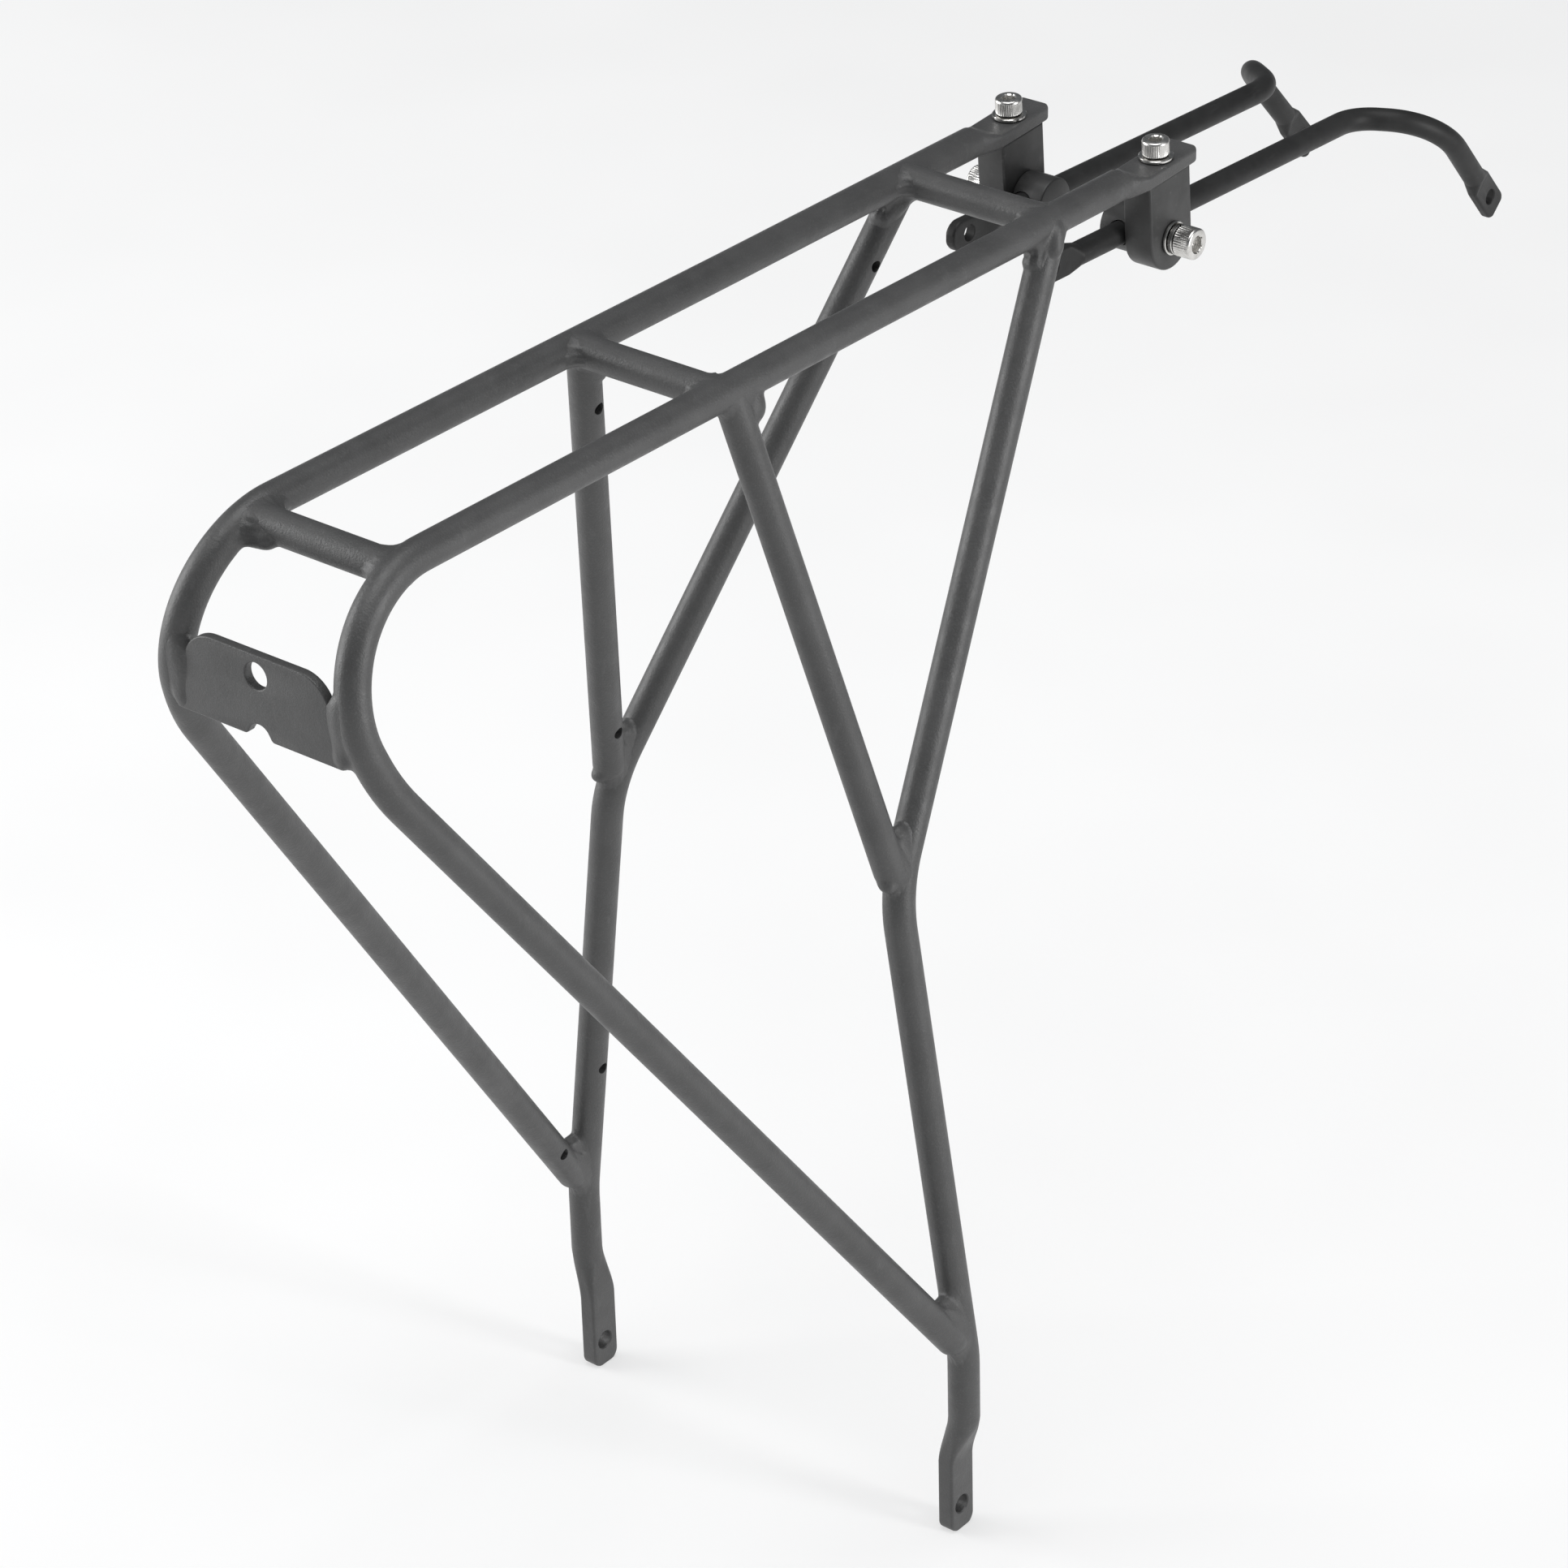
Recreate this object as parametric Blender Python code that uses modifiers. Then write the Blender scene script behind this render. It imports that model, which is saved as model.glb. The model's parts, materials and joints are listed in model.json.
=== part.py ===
"""Bicycle rear rack: a welded tube frame, a light plate and two adjustable front stays.

Metres, +Z up, +Y towards the front of the bicycle, +X to its right.
The origin is midway between the bolt holes of the two feet.
"""

import math

import bmesh
import bpy
from mathutils import Matrix, Vector

MM = 0.001
GAP = 0.3 * MM

# Frame tubes
TUBE_R = 5.0 * MM
TUBE_RINGS = 6
RAIL_Z = 385.7 * MM
RAIL_X_REAR = 26.7 * MM
RAIL_X_MID = 26.9 * MM
RAIL_X_FRONT = 27.8 * MM
RAIL_MID_Y = 20.0 * MM
BEND_TOP = Vector((26.8, -220.3, 385.7)) * MM
BEND_LOW = Vector((36.3, -199.2, 329.7)) * MM
BEND_TOP_R = 34.0 * MM
BEND_LOW_R = 68.0 * MM

# Legs: from the rail down to the knee, the ankle and the flat foot
LEG_TOP = Vector((27.5, 107.5, 385.7)) * MM
KNEE = Vector((55.5, -5.8, 216.4)) * MM
ANKLE = Vector((77.0, -0.4, 57.9)) * MM
DIAGONAL_END = Vector((77.9, -0.4, 57.9)) * MM
KNEE_R = 40.0 * MM
ANKLE_R = 60.0 * MM
FOOT_X = 73.4 * MM
FOOT_THICK = 5.7 * MM
FOOT_WIDTH = 11.2 * MM
FOOT_END = 9.5 * MM
FOOT_FLAT_TOP = 17.0 * MM
FOOT_ROUND_TOP = 34.0 * MM
FOOT_HOLE_R = 3.1 * MM
FOOT_CORNER_R = 3.6 * MM

MID_STRUT_TOP = Vector((26.7, -43.7, 385.7)) * MM
MID_STRUT_END = Vector((55.2, -5.9, 219.0)) * MM
CROSSBAR_Y = {"front": 105.4 * MM, "mid": -47.8 * MM, "rear": -180.0 * MM}
CROSSBAR_REAR_DROP = 1.7 * MM

# Flattened front end of each rail, with its bolt hole
FLAT_THICK = 4.4 * MM
FLAT_WIDTH = 13.0 * MM
FLAT_ROUND_Y = 140.0 * MM
FLAT_START_Y = 148.5 * MM
FLAT_END_Y = 174.0 * MM
FLAT_CORNER_R = 4.5 * MM
FLAT_RISE = math.radians(4.2)

# Light plate between the rear bends
PLATE_REAR_Y = -208.8 * MM
PLATE_THICK = 3.0 * MM
PLATE_HALF = 29.5 * MM
PLATE_TOP_HALF = 26.6 * MM
PLATE_LOW_Z = 337.6 * MM
PLATE_TOP_Z = 362.6 * MM
PLATE_CORNER_R = 10.5 * MM
LIGHT_HOLE_R = 4.0 * MM
LIGHT_HOLE_Z = 356.2 * MM
PLATE_ARC_STEPS = 7
NOTCH_HALF = 4.0 * MM
NOTCH_LIP_R = 1.5 * MM

# Drop block under each rail end, square to the flat; drops are measured from the rail's axis
PIVOT_X = 27.8 * MM
PIVOT_Y = 160.3 * MM
BLOCK_THICK = 10.4 * MM
BLOCK_HALF = 10.5 * MM
BLOCK_DROP = 2.7 * MM
CLAMP_DROP = 23.2 * MM
BLOCK_EDGE = 0.5 * MM
BLOCK_ARC_STEPS = 16

# Socket cap screws: an M5 through each rail end and an M6 in each clamp
TOP_SCREW = {"shank_r": 2.5 * MM, "head_r": 4.25 * MM, "head_h": 5.0 * MM, "hex": 4.0 * MM}
CLAMP_SCREW = {"shank_r": 3.0 * MM, "head_r": 5.0 * MM, "head_h": 6.0 * MM, "hex": 5.0 * MM}
TOP_SHANK = 16.0 * MM
CLAMP_SHANK = 12.9 * MM
HEX_DEPTH = 2.5 * MM
HEAD_EDGE = 0.4 * MM
WASHER_R = 5.4 * MM
WASHER_T = 1.0 * MM
SPRING_WASHER_R = 4.9 * MM
SPRING_WASHER_T = 1.6 * MM

# Rod clamp: a round head with a cross hole, on a stem that sits in the block
CLAMP_R = 8.0 * MM
CLAMP_LENGTH = 11.0 * MM
STEM_R = 4.2 * MM
STEM_LENGTH = 5.0 * MM
STEM_HOLE = 4.0 * MM

# Stay rods
ROD_R = 3.75 * MM
ROD_X = 18.5 * MM
ROD_SLOPE = -0.0313
ROD_REAR_Y = 110.7 * MM
ROD_BEND_Y = 283.2 * MM
ROD_ELBOW = Vector((41.0, 299.9, 356.9)) * MM
ROD_TIP = Vector((39.0, 338.5, 314.2)) * MM
ROD_BEND_R = 16.0 * MM
ROD_ELBOW_R = 27.0 * MM
LEFT_SLID = 6.9 * MM
TIP_THICK = 3.4 * MM
TIP_WIDTH = 10.0 * MM
TIP_LENGTH = 16.5 * MM
TIP_BLEND = 5.0 * MM
TIP_CORNER_R = 2.6 * MM
REAR_CORNER_R = 4.6 * MM
TIP_HOLE_R = 2.6 * MM
TIP_HOLE_BACK = 8.0 * MM

# Resolution, and how square a pressed end is
CLAMP_RING = 32
HOLE_RING = 20
HEX_RING = 6
ARC_STEP = math.radians(9)
BLEND_STEPS = 5
CORNER_ANGLES = (0, 30, 55, 75, 90)
SQUARENESS = 1.3
SHARP_ANGLE = math.radians(35)
BEVEL_ANGLE = math.radians(40)
CUT_THROUGH = 20 * MM
MERGE = 0.01 * MM

SIDES = {"right": 1, "left": -1}
FORWARD = Vector((0, 1, 0))
UP = Vector((0, 0, 1))
FLAT_UP = Matrix.Rotation(FLAT_RISE, 3, "X") @ UP


def clear_scene():
    for obj in list(bpy.data.objects):
        bpy.data.objects.remove(obj, do_unlink=True)


def new_collection(name):
    collection = bpy.data.collections.new(name)
    bpy.context.scene.collection.children.link(collection)
    return collection


def new_material(name, colour, roughness, metallic):
    material = bpy.data.materials.new(name)
    material.use_nodes = True
    shader = material.node_tree.nodes["Principled BSDF"]
    shader.inputs["Base Color"].default_value = (*colour, 1.0)
    shader.inputs["Roughness"].default_value = roughness
    shader.inputs["Metallic"].default_value = metallic
    return material


def mirrored(point, side):
    return Vector((point.x * side, point.y, point.z))


def add_object(name, data, collection, material=None):
    obj = bpy.data.objects.new(name, data)
    collection.objects.link(obj)
    if material:
        data.materials.append(material)
    return obj


def hide_cutter(obj):
    obj.hide_render = True
    obj.display_type = "WIRE"
    return obj


def shade(obj):
    obj.data.shade_smooth()
    obj.data.set_sharp_from_angle(angle=SHARP_ANGLE)


def arc_between(start, corner, end, radius):
    """Points of the arc that rounds a corner, from the first leg to the second."""
    to_start = (start - corner).normalized()
    to_end = (end - corner).normalized()
    half = to_start.angle(to_end) / 2
    centre = corner + (to_start + to_end).normalized() * radius / math.sin(half)
    first = corner + to_start * radius / math.tan(half) - centre
    turn = math.pi - 2 * half
    steps = max(2, round(turn / ARC_STEP))
    axis = to_end.cross(to_start).normalized()
    return [centre + Matrix.Rotation(turn * i / steps, 3, axis) @ first for i in range(steps + 1)]


def rounded_path(points, radii):
    """A path through the end points, with an arc of the given radius at each corner between."""
    path = [points[0]]
    for before, corner, after, radius in zip(points, points[1:], points[2:], radii):
        if radius:
            path += arc_between(before, corner, after, radius)
        else:
            path.append(corner)
    path.append(points[-1])
    return path


def stations(start, direction, distances):
    return [start + direction * distance for distance in distances]


def poly_curve(name, loops, dimensions, cyclic):
    curve = bpy.data.curves.new(name, "CURVE")
    curve.dimensions = dimensions
    for loop in loops:
        spline = curve.splines.new("POLY")
        spline.points.add(len(loop) - 1)
        for spline_point, point in zip(spline.points, loop):
            spline_point.co = (*point, 1.0)
        spline.use_cyclic_u = cyclic
    return curve


def fan_caps(cage):
    """Fill each end of a tube with a fan of triangles about its middle."""
    old_caps = [face for face in cage.faces if len(face.verts) == 3]
    bmesh.ops.delete(cage, geom=old_caps, context="FACES")
    rims = [edge for edge in cage.edges if edge.is_boundary]
    filled = bmesh.ops.holes_fill(cage, edges=rims)["faces"]
    bmesh.ops.poke(cage, faces=filled)


def curve_to_mesh(curve_object):
    """Replace a curve object by its mesh, with the caps welded on."""
    bpy.context.view_layer.update()
    depsgraph = bpy.context.evaluated_depsgraph_get()
    mesh = bpy.data.meshes.new_from_object(curve_object.evaluated_get(depsgraph))
    name = curve_object.name
    is_tube = curve_object.data.bevel_depth > 0
    collection = curve_object.users_collection[0]
    matrix = curve_object.matrix_world.copy()
    bpy.data.objects.remove(curve_object, do_unlink=True)
    cage = bmesh.new()
    cage.from_mesh(mesh)
    bmesh.ops.remove_doubles(cage, verts=cage.verts, dist=MERGE)
    if is_tube:
        fan_caps(cage)
    bmesh.ops.recalc_face_normals(cage, faces=cage.faces)
    cage.to_mesh(mesh)
    cage.free()
    obj = add_object(name, mesh, collection)
    obj.name = name
    obj.matrix_world = matrix
    return obj


def tube(name, path, radius, collection, material=None):
    curve = poly_curve(name, [path], "3D", False)
    curve.bevel_depth = radius
    curve.bevel_resolution = TUBE_RINGS
    curve.use_fill_caps = True
    obj = curve_to_mesh(add_object(name, curve, collection))
    if material:
        obj.data.materials.append(material)
    return obj


def flat_plate(name, loops, thickness, collection, material):
    """A flat outline in its own XY plane, extruded to both sides."""
    curve = poly_curve(name, loops, "2D", True)
    curve.fill_mode = "BOTH"
    curve.extrude = thickness / 2
    obj = curve_to_mesh(add_object(name, curve, collection))
    obj.data.materials.append(material)
    return obj


def flatten_end(obj, start, direction, normal, blend, length, size, corner, shift=0.0, slope=0.0):
    """Press a tube flat from start on: size is (thickness, width), normal is square to the flat.

    The section changes over blend, and the corners of the end have the given radius. The flat
    is shift away from the tube's axis at start, and moves away by slope along its length.
    """
    across = direction.cross(normal).normalized()
    half_thick, half_width = size[0] / 2, size[1] / 2
    for vertex in obj.data.vertices:
        offset = vertex.co - start
        along = offset.dot(direction)
        lateral = offset.dot(normal)
        sideways = offset.dot(across)
        if along <= 0 or math.hypot(lateral, sideways) > 2 * TUBE_R:
            continue
        part = min(along / blend, 1.0)
        part = part * part * (3 - 2 * part)
        past_corner = max(0.0, along - (length - corner))
        width_here = half_width - corner + math.sqrt(max(0.0, corner ** 2 - past_corner ** 2))
        radius = max(math.hypot(lateral, sideways), MERGE)
        flat_lateral = half_thick * max(-1.0, min(1.0, SQUARENESS * lateral / radius))
        flat_sideways = width_here * max(-1.0, min(1.0, SQUARENESS * sideways / radius))
        lateral += (flat_lateral + shift + slope * along - lateral) * part
        sideways += (flat_sideways - sideways) * part
        vertex.co = start + direction * along + normal * lateral + across * sideways


def end_distances(blend, length, corner):
    """Stations of a flattened end: the blend, then the rounded corners."""
    blend_steps = [blend * (i + 1) / BLEND_STEPS for i in range(BLEND_STEPS)]
    corner_steps = [length - corner + corner * math.sin(math.radians(a)) for a in CORNER_ANGLES]
    return blend_steps + corner_steps


def round_cutter(name, centre, direction, radius, length, cutters):
    """A cylinder that cuts a hole, centred on a point."""
    cage = bmesh.new()
    bmesh.ops.create_cone(
        cage, cap_ends=True, segments=HOLE_RING, radius1=radius, radius2=radius, depth=length
    )
    mesh = bpy.data.meshes.new(name)
    cage.to_mesh(mesh)
    cage.free()
    obj = add_object(name, mesh, cutters)
    obj.matrix_world = Matrix.Translation(centre) @ direction.to_track_quat("Z", "Y").to_matrix().to_4x4()
    return hide_cutter(obj)


def cut(obj, cutter):
    modifier = obj.modifiers.new("cut_" + cutter.name, "BOOLEAN")
    modifier.operation = "DIFFERENCE"
    modifier.solver = "EXACT"
    modifier.object = cutter


def turned(name, profile, closed, base, direction, collection, material, steps):
    """Turn a profile of (radius, height) points, listed top to bottom, about direction."""
    mesh = bpy.data.meshes.new(name)
    count = len(profile)
    edges = [(i, i + 1) for i in range(count - 1)]
    if closed:
        edges.append((count - 1, 0))
    mesh.from_pydata([(radius, 0, height) for radius, height in profile], edges, [])
    obj = add_object(name, mesh, collection, material)
    screw = obj.modifiers.new("turn", "SCREW")
    screw.steps = steps
    screw.render_steps = steps
    screw.use_merge_vertices = True
    screw.merge_threshold = MERGE
    obj.matrix_world = Matrix.Translation(base) @ direction.to_track_quat("Z", "Y").to_matrix().to_4x4()
    return obj


def parent_to(empty, objects):
    for obj in objects:
        obj.parent = empty
        obj.matrix_parent_inverse = empty.matrix_world.inverted()


def add_pivot(name, location, collection):
    empty = bpy.data.objects.new(name, None)
    empty.location = location
    collection.objects.link(empty)
    bpy.context.view_layer.update()
    return empty


def below_rail(side, drop):
    """The point at the given drop below the rail's axis, on the axis of the top screw."""
    return Vector((PIVOT_X * side, PIVOT_Y, RAIL_Z)) - FLAT_UP * drop


def rail_points(side):
    front = Vector((RAIL_X_FRONT, FLAT_ROUND_Y, RAIL_Z))
    middle = Vector((RAIL_X_MID, RAIL_MID_Y, RAIL_Z))
    corners = [front, middle, BEND_TOP, BEND_LOW, DIAGONAL_END]
    return [mirrored(point, side) for point in corners]


def build_rail(label, side, collection, cutters, material):
    """One tube: flat front end, top rail, rear bend and the diagonal down to the ankle."""
    corners = rail_points(side)
    path = rounded_path(corners, [0, BEND_TOP_R, BEND_LOW_R])
    blend = FLAT_START_Y - FLAT_ROUND_Y
    flat_length = FLAT_END_Y - FLAT_ROUND_Y
    steps = end_distances(blend, flat_length, FLAT_CORNER_R)
    path = stations(corners[0], FORWARD, reversed(steps)) + path
    rail = tube("rail_" + label, path, TUBE_R, collection, material)
    rise = math.tan(FLAT_RISE)
    flatten_end(
        rail, corners[0], FORWARD, UP, blend, flat_length, (FLAT_THICK, FLAT_WIDTH), FLAT_CORNER_R,
        rise * (FLAT_ROUND_Y - PIVOT_Y), rise,
    )
    hole_r = TOP_SCREW["shank_r"] + GAP
    hole = round_cutter("rail_hole_" + label, below_rail(side, 0), FLAT_UP, hole_r, CUT_THROUGH, cutters)
    cut(rail, hole)
    reach = rounded_path(corners[:4] + [(corners[3] + corners[4]) / 2], [0, BEND_TOP_R, BEND_LOW_R])
    notcher = hide_cutter(tube("rail_envelope_" + label, reach, TUBE_R + GAP, cutters))
    return rail, notcher


def leg_points(side):
    ankle_low = Vector((ANKLE.x, 0, FOOT_ROUND_TOP))
    return [mirrored(point, side) for point in (LEG_TOP, KNEE, ANKLE, ankle_low)]


def build_leg(label, side, collection, cutters, material):
    """One tube: front strut, knee, lower leg and the flattened foot with its bolt hole."""
    corners = leg_points(side)
    path = rounded_path(corners, [KNEE_R, ANKLE_R])
    down = Vector((0, 0, -1))
    blend = FOOT_ROUND_TOP - FOOT_FLAT_TOP
    length = FOOT_ROUND_TOP + FOOT_END
    path += stations(corners[-1], down, end_distances(blend, length, FOOT_CORNER_R))
    leg = tube("leg_" + label, path, TUBE_R, collection, material)
    flatten_end(
        leg, corners[-1], down, Vector((side, 0, 0)), blend, length,
        (FOOT_THICK, FOOT_WIDTH), FOOT_CORNER_R, FOOT_X - ANKLE.x,
    )
    hole = round_cutter(
        "foot_hole_" + label, Vector((FOOT_X * side, 0, 0)), Vector((1, 0, 0)), FOOT_HOLE_R,
        CUT_THROUGH, cutters,
    )
    cut(leg, hole)
    strut_mid = (corners[0] + corners[1]) / 2
    reach = rounded_path([strut_mid] + corners[1:], [KNEE_R, ANKLE_R])
    notcher = hide_cutter(tube("leg_envelope_" + label, reach, TUBE_R + GAP, cutters))
    return leg, notcher


def strut_envelope(name, top, end, side, cutters):
    ends = [mirrored(top, side), mirrored((top + end) / 2, side)]
    return hide_cutter(tube(name, ends, TUBE_R + GAP, cutters))


def build_frame_side(label, side, collection, cutters, material):
    """The rail, the leg and the middle strut of one side; returns what notches the crossbars."""
    rail, rail_notcher = build_rail(label, side, collection, cutters, material)
    leg, leg_notcher = build_leg(label, side, collection, cutters, material)
    strut_path = [mirrored(MID_STRUT_TOP, side), mirrored(MID_STRUT_END, side)]
    strut = tube("mid_strut_" + label, strut_path, TUBE_R, collection, material)
    cut(rail, leg_notcher)
    cut(leg, rail_notcher)
    cut(strut, rail_notcher)
    cut(strut, leg_notcher)
    for obj in (rail, leg, strut):
        shade(obj)
    return {
        "rail": rail_notcher,
        "front": strut_envelope("front_envelope_" + label, LEG_TOP, KNEE, side, cutters),
        "mid": strut_envelope("mid_envelope_" + label, MID_STRUT_TOP, MID_STRUT_END, side, cutters),
    }


def build_crossbars(notchers, collection, material):
    """Three tubes between the rails, notched to fit the rails and the struts beside them."""
    for place, along in CROSSBAR_Y.items():
        height = RAIL_Z - (CROSSBAR_REAR_DROP if place == "rear" else 0)
        ends = [Vector((-RAIL_X_REAR, along, height)), Vector((RAIL_X_REAR, along, height))]
        bar = tube("crossbar_" + place, ends, TUBE_R, collection, material)
        for notcher in notchers:
            cut(bar, notcher["rail"])
            if place in notcher:
                cut(bar, notcher[place])
        shade(bar)


def plate_outline():
    """Outline of the light plate, seen from behind, with a rounded notch in its lower edge."""
    def arc(centre_x, centre_z, radius, start, end):
        turn = (end - start) / PLATE_ARC_STEPS
        angles = [math.radians(start + turn * i) for i in range(PLATE_ARC_STEPS + 1)]
        return [(centre_x + radius * math.cos(a), centre_z + radius * math.sin(a), 0) for a in angles]

    low, top = PLATE_LOW_Z, PLATE_TOP_Z
    corner = PLATE_CORNER_R
    lip = NOTCH_LIP_R
    outline = [(PLATE_HALF, low, 0)]
    outline += arc(PLATE_TOP_HALF - corner, top - corner, corner, 0, 90)
    outline += arc(corner - PLATE_TOP_HALF, top - corner, corner, 90, 180)
    outline += [(-PLATE_HALF, low, 0)]
    outline += arc(-NOTCH_HALF - lip, low + lip, lip, 270, 340)
    outline += arc(0, low, NOTCH_HALF, 140, 40)
    outline += arc(NOTCH_HALF + lip, low + lip, lip, 200, 270)
    return outline


def build_light_plate(notchers, collection, material):
    angles = [2 * math.pi * i / HOLE_RING for i in range(HOLE_RING)]
    radius = LIGHT_HOLE_R
    hole = [(radius * math.cos(a), LIGHT_HOLE_Z + radius * math.sin(a), 0) for a in angles]
    plate = flat_plate("light_plate", [plate_outline(), hole], PLATE_THICK, collection, material)
    centre = Vector((0, PLATE_REAR_Y + PLATE_THICK / 2, 0))
    plate.matrix_world = Matrix.Translation(centre) @ Matrix.Rotation(math.pi / 2, 4, "X")
    for notcher in notchers:
        cut(plate, notcher["rail"])


def socket_bolt(name, seat, direction, screw, shank, collection, cutters, material):
    """A socket cap screw: seat is the middle of the underside of its head."""
    head_r, head_h, shank_r = screw["head_r"], screw["head_h"], screw["shank_r"]
    profile = [
        (0, head_h), (head_r - HEAD_EDGE, head_h), (head_r, head_h - HEAD_EDGE), (head_r, 0),
        (shank_r, 0), (shank_r, -shank), (0, -shank),
    ]
    bolt = turned(name, profile, False, seat, direction, collection, material, HOLE_RING)
    cage = bmesh.new()
    hex_r = screw["hex"] / math.sqrt(3)
    bmesh.ops.create_cone(
        cage, cap_ends=True, segments=HEX_RING, radius1=hex_r, radius2=hex_r, depth=2 * HEX_DEPTH
    )
    mesh = bpy.data.meshes.new(name + "_hex")
    cage.to_mesh(mesh)
    cage.free()
    key = hide_cutter(add_object(name + "_hex", mesh, cutters))
    turn = direction.to_track_quat("Z", "Y").to_matrix().to_4x4()
    key.matrix_world = Matrix.Translation(seat + direction * head_h) @ turn
    cut(bolt, key)
    return bolt


def washer(name, seat, direction, screw, radius, thickness, collection, material):
    inner = screw["shank_r"] + GAP
    profile = [(inner, thickness), (radius, thickness), (radius, 0), (inner, 0)]
    return turned(name, profile, True, seat, direction, collection, material, HOLE_RING)


def build_block(label, side, collection, cutters, material):
    """The drop block: square at the top, round below, bored for the two screws and the clamp's stem."""
    top = CLAMP_DROP - BLOCK_DROP
    half_turn = [math.pi * (1 + i / BLOCK_ARC_STEPS) for i in range(BLOCK_ARC_STEPS + 1)]
    outline = [(BLOCK_HALF, top, 0), (-BLOCK_HALF, top, 0)]
    outline += [(BLOCK_HALF * math.cos(a), BLOCK_HALF * math.sin(a), 0) for a in half_turn]
    block = flat_plate("drop_block_" + label, [outline], BLOCK_THICK, collection, material)
    centre = below_rail(side, CLAMP_DROP)
    upright = Matrix.Rotation(FLAT_RISE, 3, "X") @ Matrix(((0, 0, 1), (1, 0, 0), (0, 1, 0)))
    block.matrix_world = Matrix.Translation(centre) @ upright.to_4x4()
    bevel = block.modifiers.new("edges", "BEVEL")
    bevel.width = BLOCK_EDGE
    bevel.segments = 2
    bevel.limit_method = "ANGLE"
    bevel.angle_limit = BEVEL_ANGLE
    lateral = Vector((side, 0, 0))
    depth = TOP_SHANK - (FLAT_THICK / 2 + 2 * GAP + WASHER_T + BLOCK_DROP) + GAP
    screw_hole = round_cutter(
        "block_hole_" + label, below_rail(side, BLOCK_DROP), FLAT_UP, TOP_SCREW["shank_r"] + GAP,
        2 * depth, cutters,
    )
    through = round_cutter(
        "block_bore_" + label, centre, lateral, CLAMP_SCREW["shank_r"] + GAP, 2 * BLOCK_THICK, cutters
    )
    inner_face = centre - lateral * BLOCK_THICK / 2
    stem_bore = round_cutter(
        "stem_bore_" + label, inner_face, lateral, STEM_R + GAP, 2 * (STEM_LENGTH + GAP), cutters
    )
    for cutter in (screw_hole, through, stem_bore):
        cut(block, cutter)
    return block


def rod_direction():
    return Vector((0, 1, ROD_SLOPE)).normalized()


def build_clamp(label, side, collection, cutters, material):
    """The rod clamp: its stem turns in the block, and its head holds the rod in a cross hole."""
    outward = Vector((side, 0, 0))
    centre = below_rail(side, CLAMP_DROP)
    base = centre - outward * (BLOCK_THICK / 2 + GAP)
    edge = HEAD_EDGE
    profile = [
        (0, STEM_LENGTH), (STEM_R, STEM_LENGTH), (STEM_R, 0), (CLAMP_R - edge, 0), (CLAMP_R, -edge),
        (CLAMP_R, edge - CLAMP_LENGTH), (CLAMP_R - edge, -CLAMP_LENGTH), (0, -CLAMP_LENGTH),
    ]
    clamp = turned("rod_clamp_" + label, profile, False, base, outward, collection, material, CLAMP_RING)
    cross = round_cutter(
        "rod_hole_" + label, mirrored(rod_axis_point(centre.y), side), rod_direction(), ROD_R + GAP,
        4 * CLAMP_R, cutters,
    )
    stem_end = base + outward * STEM_LENGTH
    thread_r = CLAMP_SCREW["shank_r"] + GAP
    thread = round_cutter("stem_hole_" + label, stem_end, outward, thread_r, 2 * STEM_HOLE, cutters)
    cut(clamp, cross)
    cut(clamp, thread)
    return clamp


def rod_axis_point(along_y):
    """The point of the right rod's straight run at the given y."""
    clamp = below_rail(1, CLAMP_DROP)
    return Vector((ROD_X, along_y, clamp.z + ROD_SLOPE * (along_y - clamp.y)))


def build_rod(label, side, collection, cutters, material):
    """A stay rod: flat rear end, straight run through the clamp, two bends and a flat drilled tip."""
    slid = rod_direction() * (LEFT_SLID if side < 0 else 0)
    rear = mirrored(rod_axis_point(ROD_REAR_Y), side) + slid
    bend = mirrored(rod_axis_point(ROD_BEND_Y), side) + slid
    elbow = mirrored(ROD_ELBOW, side) + slid
    tip = mirrored(ROD_TIP, side) + slid
    length = TIP_LENGTH + TIP_BLEND
    back = -rod_direction()
    rear_start = rear - back * length
    out = (tip - elbow).normalized()
    tip_start = tip - out * length
    rear_steps = end_distances(TIP_BLEND, length, REAR_CORNER_R)
    tip_steps = end_distances(TIP_BLEND, length, TIP_CORNER_R)
    path = stations(rear_start, back, reversed(rear_steps))
    path += rounded_path([rear_start, bend, elbow, tip_start], [ROD_BEND_R, ROD_ELBOW_R])
    path += stations(tip_start, out, tip_steps)
    rod = tube("stay_rod_" + label, path, ROD_R, collection, material)
    size = (TIP_THICK, TIP_WIDTH)
    lateral = Vector((side, 0, 0))
    tip_lateral = (lateral - out * lateral.dot(out)).normalized()
    flatten_end(rod, rear_start, back, lateral, TIP_BLEND, length, size, REAR_CORNER_R)
    flatten_end(rod, tip_start, out, tip_lateral, TIP_BLEND, length, size, TIP_CORNER_R)
    for place, centre, axis in (
        ("rear", rear - back * TIP_HOLE_BACK, lateral),
        ("tip", tip - out * TIP_HOLE_BACK, tip_lateral),
    ):
        hole = round_cutter(f"{place}_hole_{label}", centre, axis, TIP_HOLE_R, CUT_THROUGH, cutters)
        cut(rod, hole)
    shade(rod)
    return rod


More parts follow.
